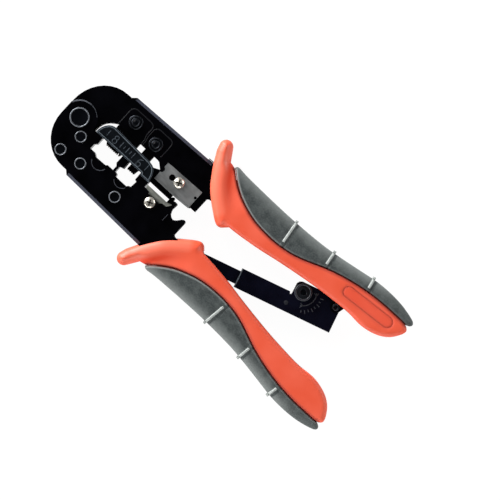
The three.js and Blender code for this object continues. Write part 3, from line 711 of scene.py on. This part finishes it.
def plan_of(data):
    """The mesh's points in plan, in mm, on the lower handle's side."""
    co = np.array([v.co for v in data.vertices], float).reshape(-1, 3) - np.array(PIVOT)
    co /= MM
    if co[:, 1].mean() > HANDLE_MIRROR_Y:
        co[:, 1] = 2 * HANDLE_MIRROR_Y - co[:, 1]
    return co[:, :2]


def mirror_mesh(data):
    """A copy of the mesh for the other handle."""
    other = data.copy()
    centre = place(0, HANDLE_MIRROR_Y).y
    other.transform(Matrix.Translation((0, 2 * centre, 0)) @ Matrix.Diagonal((1, -1, 1, 1)))
    other.flip_normals()
    return other


def seam_shade(plan, width, power):
    """1 at the seam, fading to 0 at width mm from it."""
    seam, _ = distance_to(plan, SEAM_LINE)
    return np.clip(1 - seam / width, 0, 1) ** power


# The painted shade of the crease lies this far behind the guard's front, beyond this X.
CREASE = 8.5
BEHIND_GUARD_X = 64


def build_grips():
    """The two orange shells: the lower one plain, the upper one with the pill outline."""
    outline = chain(GRIP_INNER, SEAM_LINE, GUARD_EDGE)
    fine = near_lines(SEAM_LINE, [-0.15, -0.35, -0.6, -0.85, -1.2, -1.6])
    fine += near_lines(GRIP_INNER, [-0.1, -0.3, -0.6, -1.0, -1.5, -2.1])
    fine += near_lines(GUARD_EDGE, [-0.1, -0.3, -0.6, -1.0, -1.5, -2.1, -2.8, -3.5])
    plain = puffed(outline, fine, grip_height, 1.1)
    fine += near_lines(PILL, [0.2 * k for k in range(-3, 4)])
    marked = puffed(outline, fine, lambda x, y: grip_height(x, y, True), 1.1)
    for side, body, half, mouth, flip in HANDLES:
        data = mirror_mesh(marked) if flip else plain.copy()
        data = cut(data, [tang_room(half, flip), mouth_room(mouth, flip)])
        plan = plan_of(data)
        front, along = distance_to(plan, GUARD_FRONT)
        # Painted shade along the crease behind the guard's bead, and a darker tone inside the pill
        # outline.
        crease = bump(front - CREASE, 1.5) * ease(along / 0.15) * ease((0.98 - along) / 0.7)
        shade = seam_shade(plan, 1.5, 1.0)
        if flip:
            shade = np.maximum(shade, 0.5 * bump(distance_to(plan, PILL)[0], 0.5))
            crease = np.maximum(crease, 0.32 * inside(plan, PILL))
        set_attribute(data, "shade", shade)
        set_attribute(data, "crease", crease * (plan[:, 0] > BEHIND_GUARD_X))
        # Glossier, with a painted highlight, on the guard's front.
        on_guard = (0.5 + 0.5 * ease(along / 0.12)) * ease((0.99 - along) / 0.12)
        set_attribute(data, "gloss_and_painted_highlight", ease((7.5 - front) / 3) * on_guard)
        smooth(data, 40)
        new_object(f"{side}_grip_moulding", data, body, MATERIALS["orange_plastic"],
                   [f"{side}_grip"])


RIB_PROUD = 0.42
RIB_HALF_WIDTH = 0.62
# How deep a rib's flat underside is sunk in the insert, and how high its back may stand.
RIB_ROOT = 0.6
RIB_TOP = 10.15


def rib_path(start, end):
    """Points over the insert along a rib, round its outer edge and back on the other face."""
    steps = 26
    a, b = np.array(start, float), np.array(end, float)
    b = b + (b - a) / np.linalg.norm(b - a) * 0.15
    t = np.sin(np.linspace(0, math.pi / 2, steps))
    plan = a + (b - a) * t[:, None]
    outer, _ = distance_to(plan, INSERT_EDGE)
    z = INSERT_FACE - rounded(outer, INSERT_EDGE_R)
    z[0] -= 0.5
    over = [Vector((*q, h)) for q, h in zip(plan, z)]
    wall = [Vector((*plan[-1], h)) for h in np.linspace(z[-1], 0, 7)[1:]]
    half = over + wall
    return half + [Vector((v.x, v.y, -v.z)) for v in reversed(half[:-1])]


def add_rib(mesh, path, across):
    """A round-backed bead along the path; across is the bead's width direction."""
    sides = 8
    rings = []
    count = len(path)
    for i, q in enumerate(path):
        ahead = (path[min(i + 1, count - 1)] - path[max(i - 1, 0)]).normalized()
        up = ahead.cross(across).normalized()
        fade = min(1.0, 0.35 + min(i, count - 1 - i) / 3)
        ring = []
        for k in range(sides + 1):
            angle = math.pi * k / sides
            side = across * (math.cos(angle) * RIB_HALF_WIDTH)
            lift = up * (math.sin(angle) * RIB_PROUD * fade)
            point = q + side + lift
            height = max(-RIB_TOP, min(RIB_TOP, point.z))
            ring.append(mesh.verts.new(place(point.x, point.y, height)))
        for side in (-1, 1):
            point = q - up * RIB_ROOT + across * (side * RIB_HALF_WIDTH)
            ring.append(mesh.verts.new(place(*point)))
        rings.append(ring)
    for one, two in zip(rings, rings[1:]):
        size = len(one)
        for k in range(size):
            mesh.faces.new([one[k], one[(k + 1) % size], two[(k + 1) % size], two[k]])
    mesh.faces.new(rings[0])
    mesh.faces.new(list(reversed(rings[-1])))


def rib_data():
    """The three ribs of the lower insert in one mesh."""
    mesh = bmesh.new()
    for start, end in RIBS:
        path = rib_path(start, end)
        run = Vector((end[0] - start[0], end[1] - start[1], 0)).normalized()
        across = Vector((-run.y, run.x, 0))
        add_rib(mesh, path, across)
    return finished(mesh, "ribs")


def build_inserts():
    """The two rubber inserts, and the ribs over them."""
    outline = chain(INSERT_OUTER, offset(SEAM_LINE, 0.1)[::-1][1:-1])
    fine = near_lines(SEAM_LINE, [0.3, 0.48, 0.65, 0.85, 1.05, 1.3, 1.6])
    fine += near_lines(INSERT_EDGE, [-0.1, -0.3, -0.7, -1.2, -1.9, -2.7, -3.6, -4.5])
    for (x0, y0), (x1, y1) in RIBS:
        rib = line((x0, y0 + 1.5), (x1, y1 - 0.3), 0.6)
        fine += [(x + d, y) for d in (-1.6, -1.2, -0.8, -0.4, 0, 0.4, 0.7, 1.0, 1.3, 1.6, 1.9, 2.3)
                 for x, y in rib]
    shell = puffed(outline, fine, insert_height, 1.0)
    ribs = rib_data()
    for side, body, half, _, flip in HANDLES:
        data = mirror_mesh(shell) if flip else shell.copy()
        data = cut(data, [tang_room(half, flip)])
        plan = plan_of(data)
        set_attribute(data, "shade", seam_shade(plan, 0.55, 0.7))
        outer, _ = distance_to(plan, INSERT_OUTER)
        seam, _ = distance_to(plan, SEAM_LINE)
        # Painted highlight along the outer edge, fading towards the far end, and along the lip,
        # strongest towards the head; painted shade beside each rib, where the highlight is taken
        # away.
        head_end = np.clip((125 - plan[:, 0]) / 40, 0.15, 1)
        far_end = 1 - 0.8 * ease((plan[:, 0] - 152) / 12)
        pale = 0.52 * far_end * np.clip(1 - outer / 5.5, 0, 1)
        pale = pale + 0.9 * head_end * bump(seam - LIP_IN, 0.35)
        for across in rib_offsets(plan):
            pale = pale - 0.9 * bump(across - 1.4, 0.6)
        set_attribute(data, "pale", np.clip(pale, 0, 1))
        smooth(data, 40)
        new_object(f"{side}_grip_rubber", data, body, MATERIALS["grey_rubber"],
                   [f"{side}_grip_insert"])
        lines = mirror_mesh(ribs) if flip else ribs.copy()
        smooth(lines, 50)
        new_object(f"{side}_grip_ribs", lines, body, RIB)


build_grips()
build_inserts()


# ---- Turned heads ----

STRUT_ANGLE = 16.9
STRUT_MOUTH = (102.35, -4.95)
# Places along and across the strut, from the middle of the housing's mouth.
HOUSING_PIN = (46.03, 7.18)
KNOB = (29.84, 6.87)
STOP_PIN = (24.7, -0.76)
# Places about the main pivot.
STRIPPING_SCREW = (49.7, -7.0)
CUTTER_SCREW = (53.5, 8.6)
FRAME_RIVETS = [(6.3, -6.1), (3.4, -16.6), (14.4, -15.3), (36.2, -15.9)]
DIE_PINS = {"8p": (20.3, 15.6), "6p": (33.8, 14.3)}


def strut_point(along, across):
    """A place on the strut, in plan about the main pivot."""
    return swung([(along, across)], STRUT_MOUTH, STRUT_ANGLE)[0]


def turned(centre, profile, sides=56):
    """A turned piece. The profile lists (radius, z, material) from the top's middle down."""
    mesh = bmesh.new()
    rings = []
    for radius, z, _ in profile:
        if radius == 0:
            rings.append([mesh.verts.new(place(*centre, z))])
            continue
        angles = [2 * math.pi * k / sides for k in range(sides)]
        rings.append([mesh.verts.new(place(centre[0] + radius * math.cos(a),
                                           centre[1] + radius * math.sin(a), z)) for a in angles])
    for (one, two), (_, _, index) in zip(zip(rings, rings[1:]), profile[1:]):
        for k in range(sides):
            j = (k + 1) % sides
            if len(one) == 1:
                corners = [one[0], two[k], two[j]]
            elif len(two) == 1:
                corners = [one[k], two[0], one[j]]
            else:
                corners = [one[k], two[k], two[j], one[j]]
            mesh.faces.new(corners).material_index = index
    data = finished(mesh, "turned")
    smooth(data, 50)
    return data


def both_ends(half):
    """A profile and its mirror image below the mid-plane."""
    back = [(r, -z, half[i + 1][2] if i + 1 < len(half) else m)
            for i, (r, z, m) in reversed(list(enumerate(half)))]
    return half + back


def raised_rim(inner, outer, floor, top, steps=8):
    """A round-backed rim between two radii that stands from floor to top."""
    centre, half = (inner + outer) / 2, (outer - inner) / 2
    angles = [math.pi - math.pi * k / steps for k in range(steps + 1)]
    return [(centre + half * math.cos(a), floor + (top - floor) * math.sin(a), 1) for a in angles]


def rivet_profile(head, shaft, under, top, rim):
    """A rivet's radii and heights: a sunk face inside a bright rim, on a dark head and shaft."""
    floor = top - 0.3
    half = [(0, floor, 0), (head - rim - 0.25, floor, 0)]
    half += raised_rim(head - rim - 0.15, head - 0.05, floor, top)
    half += [(head, floor - 0.12, 1), (head, under, 0), (shaft, under, 0)]
    return both_ends(half)


def build_rivets():
    """The main rivet and the frame's four."""
    surfaces = [MATERIALS["rivet_steel"], RIM_STEEL]
    main = turned((0, 0), rivet_profile(4.6, 3.0, FRAME_OUTER, HALF_Z, 0.45), 72)
    new_object("main_rivet_turned", main, "lower_frame", surfaces, ["main_rivet"])
    for i, centre in enumerate(FRAME_RIVETS, 1):
        data = turned(centre, rivet_profile(2.75, 1.5, FRAME_OUTER, FRAME_OUTER + 0.7, 0.34))
        new_object(f"frame_rivet_{i}_turned", data, "lower_frame", surfaces,
                   [f"frame_rivet_{i}"])


def build_jaw_pins():
    """The pins of the dies and of the housing, with their heads on the upper jaw's faces."""
    surfaces = [MATERIALS["rivet_steel"], PIN_STEEL]
    under = JAW_OUTER + CLEAR
    for size, centre in DIE_PINS.items():
        half = [(0, 6.05, 0), (1.35, 6.05, 0), *raised_rim(1.4, 1.95, 6.0, 6.2),
                (2.0, 5.8, 0), (2.6, 5.75, 0), *raised_rim(2.75, 3.35, 5.7, 5.95),
                (3.4, under, 0), (1.6, under, 0)]
        new_object(f"die_pin_{size}_turned", turned(centre, both_ends(half)), "upper_jaw",
                   surfaces, [f"die_pin_{size}"])
    half = [(0, 5.6, 0), (0.9, 5.6, 0), *raised_rim(1.0, 1.6, 5.55, 5.75), (1.75, 5.6, 1),
            (1.75, under, 0), (1.3, under, 0)]
    new_object("housing_pin_turned", turned(strut_point(*HOUSING_PIN), both_ends(half), 40),
               "upper_jaw", surfaces, ["housing_pin"])


SCREW_HEAD_R = 2.55
SCREW_SHANK_R = 1.25
# The head's upright edge takes this share of its height, and its dome the rest.
SCREW_EDGE = 0.25
CROSS_REACH = 1.5
CROSS_HALF_WIDTH = 0.32
CROSS_DEPTH = 0.75
CROSS_TURN = 25


def cross_screw(node, body, centre, under, top, end):
    """A pan head with a cross recess on a plain shank that reaches down to end."""
    edge = SCREW_EDGE * (top - under)
    dome = (1 - SCREW_EDGE) * (top - under)
    steps = 8
    profile = [(0, top, 0)]
    for k in range(1, steps + 1):
        a = math.radians(90 * k / steps)
        profile.append((SCREW_HEAD_R * math.sin(a), under + edge + dome * math.cos(a), 0))
    profile += [(SCREW_HEAD_R, under, 0), (SCREW_SHANK_R, under, 0), (SCREW_SHANK_R, end, 0),
                (0, end, 0)]
    arm = [(-CROSS_REACH, -CROSS_HALF_WIDTH), (CROSS_REACH, -CROSS_HALF_WIDTH),
           (CROSS_REACH, CROSS_HALF_WIDTH), (-CROSS_REACH, CROSS_HALF_WIDTH)]
    cross = []
    for angle in (CROSS_TURN, CROSS_TURN + 90):
        cross.append(prism(swung(arm, centre, angle), top - CROSS_DEPTH, top + 1))
    data = cut(turned(centre, profile), cross)
    smooth(data, 35)
    # Faces inside the cross recess take painted shade.
    middle = place(*centre, 0)
    for face in data.polygons:
        away = (face.center - middle) / MM
        reach = math.hypot(away.x, away.y)
        surface = under + edge + dome * math.sqrt(max(0, 1 - (reach / SCREW_HEAD_R) ** 2))
        if reach < CROSS_REACH + 0.2 and under < away.z < surface - 0.08:
            face.material_index = 1
    new_object(f"{node}_head", data, body, [MATERIALS["nickel"], RECESS_SHADE], [node])


def build_screws():
    """The two blades' screws."""
    cross_screw("stripping_screw", "lower_frame", STRIPPING_SCREW, 8.95, 10.15, 6.3)
    cross_screw("cutter_screw", "upper_jaw", CUTTER_SCREW, 6.2, 8.0, 3.7)


def build_stop_pin():
    """The small domed pin beside the knob."""
    top = HOUSING_OUTER + 0.14
    half = [(0, top, 0), (0.5, top, 0), (0.85, top - 0.04, 0), (1.0, top - 0.11, 0),
            (0.69, top - 0.12, 0)]
    data = turned(strut_point(*STOP_PIN), both_ends(half), 32)
    new_object("stop_pin_turned", data, "housing", PIN_DOT, ["stop_pin"])


def build_handle_spring():
    """The coil behind the rack bar, set on the housing as one piece, though the real coil shortens
    as the handles close.
    """
    data = node_object("handle_spring").data.copy()
    smooth(data, 60)
    coil = new_object("handle_spring_coil", data, "housing", MATERIALS["spring_steel"],
                      ["handle_spring"])
    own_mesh(coil)


def build_knob():
    """The release knob: a ring round a sunk face, open in the middle for its screw."""
    low = HOUSING_OUTER + 0.1
    profile = [(1.42, 4.95, 0), (1.5, 5.05, 0), (2.0, 5.05, 0), (2.2, 4.95, 0), (3.0, 4.95, 0),
               *raised_rim(3.1, 4.05, 4.9, 5.3, 10), (4.1, 4.75, 1), (4.1, low + 0.2, 0),
               (3.9, low, 0), (1.6, low, 0), (1.6, 4.5, 0), (1.42, 4.5, 0), (1.42, 4.95, 0)]
    data = turned(strut_point(*KNOB), profile, 72)
    new_object("release_knob_turned", data, "pawl", [MATERIALS["knob_paint"], KNOB_RING],
               ["release_knob"])


# ---- Raised lines and marks ----

# How deep a ridge's foot is sunk, and how much of its width its flat back takes.
RIDGE_ROOT = 0.05
RIDGE_BACK = 0.6


def ridge(points, z, width, height, closed=False):
    """A low flat-topped line along the points, standing on the face at height z."""
    p = [Vector((*q, 0)) for q in points]
    count = len(p)
    mesh = bmesh.new()
    rows = []
    for i, q in enumerate(p):
        before = p[(i - 1) % count] if closed or i else q
        after = p[(i + 1) % count] if closed or i < count - 1 else q
        t = (after - before).normalized()
        side = Vector((-t.y, t.x, 0)) * (width / 2)
        rows.append([mesh.verts.new(place(v.x, v.y, h)) for v, h in (
            (q - side, z - RIDGE_ROOT), (q - side * RIDGE_BACK, z + height),
            (q + side * RIDGE_BACK, z + height), (q + side, z - RIDGE_ROOT))])
    pairs = list(zip(rows, rows[1:]))
    if closed:
        pairs.append((rows[-1], rows[0]))
    for one, two in pairs:
        for k in range(4):
            mesh.faces.new([one[k], one[(k + 1) % 4], two[(k + 1) % 4], two[k]])
    if not closed:
        mesh.faces.new(rows[0])
        mesh.faces.new(list(reversed(rows[-1])))
    return finished(mesh, "ridge")


def joined(parts):
    """One mesh from several."""
    mesh = bmesh.new()
    for data in parts:
        mesh.from_mesh(data)
    data = bpy.data.meshes.new("joined")
    mesh.to_mesh(data)
    mesh.free()
    return data


def add_lines(name, lines, body, material):
    """One piece from several low lines."""
    new_object(name, joined(lines), body, material)


# The marking bar in plan, and its face.
BAR_FACE = 9.0
BAR_END_L = curve([(9.9, 0.3), (10.1, 2.6), (11.1, 5.0), (12.8, 6.9), (14.8, 7.7)])
BAR_END_R = curve([(37, 6.7), (40.2, 5.7), (42.2, 3.0), (43.2, -0.7)])
BAR = chain(BAR_END_L, line((14.8, 7.7), (37, 6.7)), BAR_END_R, line((43.2, -0.7), (38.2, -0.7)),
            line((38.2, -0.7), (37.7, 0.3)), line((37.7, 0.3), (9.9, 0.3)))


def ring(centre, radius):
    """A digit's round stroke, which is closed."""
    return arc(centre, radius, 0, 345, 16), True


def digit_eight(x, y):
    return [ring((x, y + 0.95), 0.9), ring((x, y - 0.95), 1.05)]


def digit_six(x, y):
    tail = curve([(x - 1.05, y - 0.9), (x - 0.8, y + 0.9), (x + 0.7, y + 2.0)], 0.3)
    return [ring((x, y - 0.9), 1.05), (chain(tail), False)]


def bar_marks():
    """The marking bar's pressed outline, the plug sizes and plain strokes."""
    outline = [ridge(offset(BAR + BAR[:1], -0.7)[:-1], BAR_FACE, 0.45, 0.1, True)]
    add_lines("marking_bar_outline", outline, "lower_frame", MARK_STEEL)
    strokes = digit_eight(19, 3.7) + digit_six(34, 3.2)
    strokes += [(line((x, 2.2), (x, 5.2), 1), False) for x in (14.6, 22.6, 26.2, 29.8, 38)]
    strokes += [(line((x, 2.9), (x, 4.5), 1), False) for x in (24.4, 28.0)]
    lines = [ridge(q, BAR_FACE, 0.42, 0.1, closed) for q, closed in strokes]
    add_lines("marking_bar_digits", lines, "lower_frame", MARK_DIGITS)


def jaw_marks():
    """The relief lines round the two die pins."""
    relief = [
        chain([(14.8, 10)], arc((17.2, 18.0), 2.4, 180, 90, 8), [(25.4, 20.4)],
              arc((25.6, 18.2), 2.2, 90, 0, 8), [(27.8, 14.5), (28.6, 12.5), (28.6, 10)]),
        chain([(29.4, 10.2), (29.4, 12.4), (28.8, 15)], arc((31.2, 18.2), 2.4, 180, 90, 8),
              [(37.2, 20.6)], arc((37.2, 18.4), 2.2, 90, 0, 8), [(39.4, 11.5)]),
    ]
    lines = [ridge(q, JAW_OUTER, 0.5, 0.07) for q in relief]
    add_lines("jaw_relief", lines, "upper_jaw", RELIEF_PAINT)


def frame_marks():
    """A painted highlight along the top of the rim round the main rivet, narrowing towards its
    end, the rims of the nests and a fine line by the cable notch.
    """
    # Painted highlight where the edge of the boss catches the light.
    lines = [ridge(arc((0, 0), 7.8, 157, 92, 20), FRAME_OUTER, 0.7, 0.12)]
    add_lines("boss_rim_highlight", lines, "lower_frame", BOSS_HIGHLIGHT)
    # The painted highlight narrows and fades towards its end.
    lines = [ridge(arc((0, 0), 7.85, 92, 66, 10), FRAME_OUTER, 0.5, 0.1),
             ridge(arc((0, 0), 7.85, 66, 42, 10), FRAME_OUTER, 0.3, 0.08)]
    add_lines("boss_rim_highlight_end", lines, "lower_frame", MARK_GREY)
    lines = [ridge(arc((20.6, -8.6), 3.95, 205, 345, 20), FRAME_OUTER, 0.4, 0.06),
             ridge(arc((33.6, -8.0), 3.75, 215, 335, 20), FRAME_OUTER, 0.35, 0.06),
             ridge(line((59.4, -9.0), (59.4, -5.4), 1), FRAME_OUTER, 0.3, 0.05)]
    add_lines("recess_rims", lines, "lower_frame", MARK_GREY)


# The arc's radius, each end's angle with the way back along the arc, and the barbs' reach.
ARC_R = 6.1
ARC_ENDS = ((38, -1), (-62, 1))
BARB_ANGLE = 12
BARB_SPREAD = 1
TICK_IN = 8.2
TICK_OUT = 9.9
MARK_WIDTH = 0.55
MARK_HEIGHT = 0.05


def housing_marks():
    """The lip at the housing's mouth, and an arc with barbed ends and tick marks by the knob."""
    mouth = [strut_point(0.35, -4.6), strut_point(0.35, 4.6)]
    add_lines("housing_lip", [ridge(mouth, HOUSING_OUTER, 0.6, 0.12)], "housing", MARK_STEEL)

    centre = strut_point(*KNOB)
    sweep = arc(centre, ARC_R, ARC_ENDS[0][0], ARC_ENDS[1][0], 24)
    lines = [ridge(sweep, HOUSING_OUTER, MARK_WIDTH, MARK_HEIGHT)]
    for angle, back in ARC_ENDS:
        tip = on_circle(centre, ARC_R, angle + BARB_ANGLE * back)
        for radius in (ARC_R - BARB_SPREAD, ARC_R + BARB_SPREAD):
            wing = on_circle(centre, radius, angle)
            lines.append(ridge([tip, wing], HOUSING_OUTER, 0.5, MARK_HEIGHT))
    for k in range(8):
        angle = 22 - 11 * k
        shorter = 0.6 * (k % 2)
        ends = [on_circle(centre, radius, angle) for radius in (TICK_IN, TICK_OUT - shorter)]
        lines.append(ridge(ends, HOUSING_OUTER, MARK_WIDTH, MARK_HEIGHT))
    add_lines("release_marks", lines, "housing", MARK_GREY)


build_rivets()
build_jaw_pins()
build_screws()
build_stop_pin()
build_handle_spring()
build_knob()
bar_marks()
jaw_marks()
frame_marks()
housing_marks()


# ---- Metal pieces of the frame ----

FINISH = {
    "black_paint": ["lower_frame", "upper_jaw", "ratchet_rack", "strut_housing", "release_knob"],
    "bar_paint": ["marking_bar_front", "marking_bar_back"],
    "rivet_steel": ["main_rivet", "frame_rivet_1", "frame_rivet_2", "frame_rivet_3",
                    "frame_rivet_4", "die_pin_8p", "die_pin_6p", "release_shaft", "knob_screw"],
    "tool_steel": ["nest_block", "crimp_die_8p", "crimp_die_6p"],
    "blade_steel": ["stripping_blade", "cutter_blade", "contact_comb_8p", "contact_comb_6p"],
    "nickel": ["pivot_washer_front", "pivot_washer_back", "stripping_screw", "cutter_screw"],
    "spring_steel": ["rack_pin", "rack_spacer_front", "rack_spacer_back", "housing_pin",
                     "stop_pin", "handle_spring", "pawl", "pawl_spring"],
}
# Nodes whose paint differs a little from the rest of their slot.
OWN_FINISH = {"ratchet_rack": "strut_paint", "strut_housing": "strut_paint"}


def dress(name, slot, bevel):
    """A CAD node's material, with its edges broken by the bevel, in mm."""
    obj = node_object(name)
    obj.data.materials.clear()
    obj.data.materials.append(MATERIALS[OWN_FINISH.get(name, slot)])
    for face in obj.data.polygons:
        face.use_smooth = True
    modifier = obj.modifiers.new("edges", "BEVEL")
    modifier.width = bevel * MM
    modifier.segments = 2
    modifier.limit_method = "ANGLE"
    modifier.angle_limit = math.radians(32)
    modifier.harden_normals = True


for slot_name, names in FINISH.items():
    edge_bevel = 0.08 if slot_name in ("blade_steel", "nickel") else 0.14
    for node_name in names:
        dress(node_name, slot_name, edge_bevel)
node_object("stripping_blade").data.materials[0] = blade_finish()


# ---- Stage, light and camera ----


def build_stage():
    """A pale floor that glows evenly, like a light table, just under the tool."""
    size = 3.0
    under = -0.00005
    mesh = bpy.data.meshes.new("floor")
    corners = [(-size, -size), (size, -size), (size, size), (-size, size)]
    mesh.from_pydata([(x, y, under) for x, y in corners], [], [(0, 1, 2, 3)])
    floor = bpy.data.objects.new("floor", mesh)
    bpy.context.scene.collection.objects.link(floor)
    m = Nodes("floor_light_table", Roughness=0.9, Specular_IOR_Level=0.0,
              Emission_Color=(1, 1, 1, 1), Emission_Strength=0.97)
    colour = m.ramp(m.noise(40, 2), (0.3, (0.08, 0.08, 0.08, 1)), (0.7, (0.09, 0.09, 0.09, 1)))
    floor.data.materials.append(m.set(Base_Color=colour))


def area_light(name, position, target, size, power):
    """A soft white panel; places and sizes in metres."""
    light = bpy.data.lights.new(name, "AREA")
    light.shape = "RECTANGLE"
    light.size, light.size_y = size
    light.energy = power
    obj = bpy.data.objects.new(name, light)
    obj.location = position
    obj.rotation_euler = (Vector(target) - Vector(position)).to_track_quat("-Z", "Y").to_euler()
    bpy.context.scene.collection.objects.link(obj)


def build_light():
    """Panels round the tool; the world is dim, with a pale backdrop that only the camera sees."""
    world = bpy.data.worlds.new("studio")
    world.use_nodes = True
    nodes, links = world.node_tree.nodes, world.node_tree.links
    dim = nodes["Background"]
    dim.inputs["Color"].default_value = (1, 1, 1, 1)
    dim.inputs["Strength"].default_value = 0.03
    backdrop = nodes.new("ShaderNodeBackground")
    backdrop.inputs["Strength"].default_value = 0.98
    choice = nodes.new("ShaderNodeMixShader")
    links.new(nodes.new("ShaderNodeLightPath").outputs["Is Camera Ray"], choice.inputs[0])
    links.new(dim.outputs[0], choice.inputs[1])
    links.new(backdrop.outputs[0], choice.inputs[2])
    links.new(choice.outputs[0], nodes["World Output"].inputs["Surface"])
    bpy.context.scene.world = world
    area_light("low_key", (-0.9, 0.1, 0.17), (0, 0, 0.01), (0.8, 0.26), 16)
    area_light("key", (-0.75, 0.1, 0.62), (0, 0, 0), (0.5, 0.8), 5)
    area_light("fill", (0.65, -0.75, 0.5), (0, 0, 0), (0.7, 0.6), 6)
    area_light("side", (0.55, 0.85, 0.5), (0, 0, 0), (0.7, 0.6), 6.5)
    area_light("edge", (-0.1, -0.95, 0.25), (0, 0, 0), (0.9, 0.25), 5.5)


def build_camera():
    """Straight above, turned so that the tool lies across the picture from corner to corner."""
    distance = 2.2
    frame_width = 0.2273
    sensor = 36.0
    camera = bpy.data.cameras.new("camera")
    camera.sensor_width = sensor
    camera.lens = sensor * (distance - 2 * HALF_Z * MM) / frame_width
    camera.clip_end = 10
    obj = bpy.data.objects.new("camera", camera)
    aim = place(97.9, 8.02)
    turn = 42.6
    obj.location = (aim.x, aim.y, distance)
    obj.rotation_euler = (0, 0, math.radians(turn))
    bpy.context.scene.collection.objects.link(obj)
    bpy.context.scene.camera = obj


build_stage()
build_light()
build_camera()
bpy.context.scene.view_settings.view_transform = "Standard"
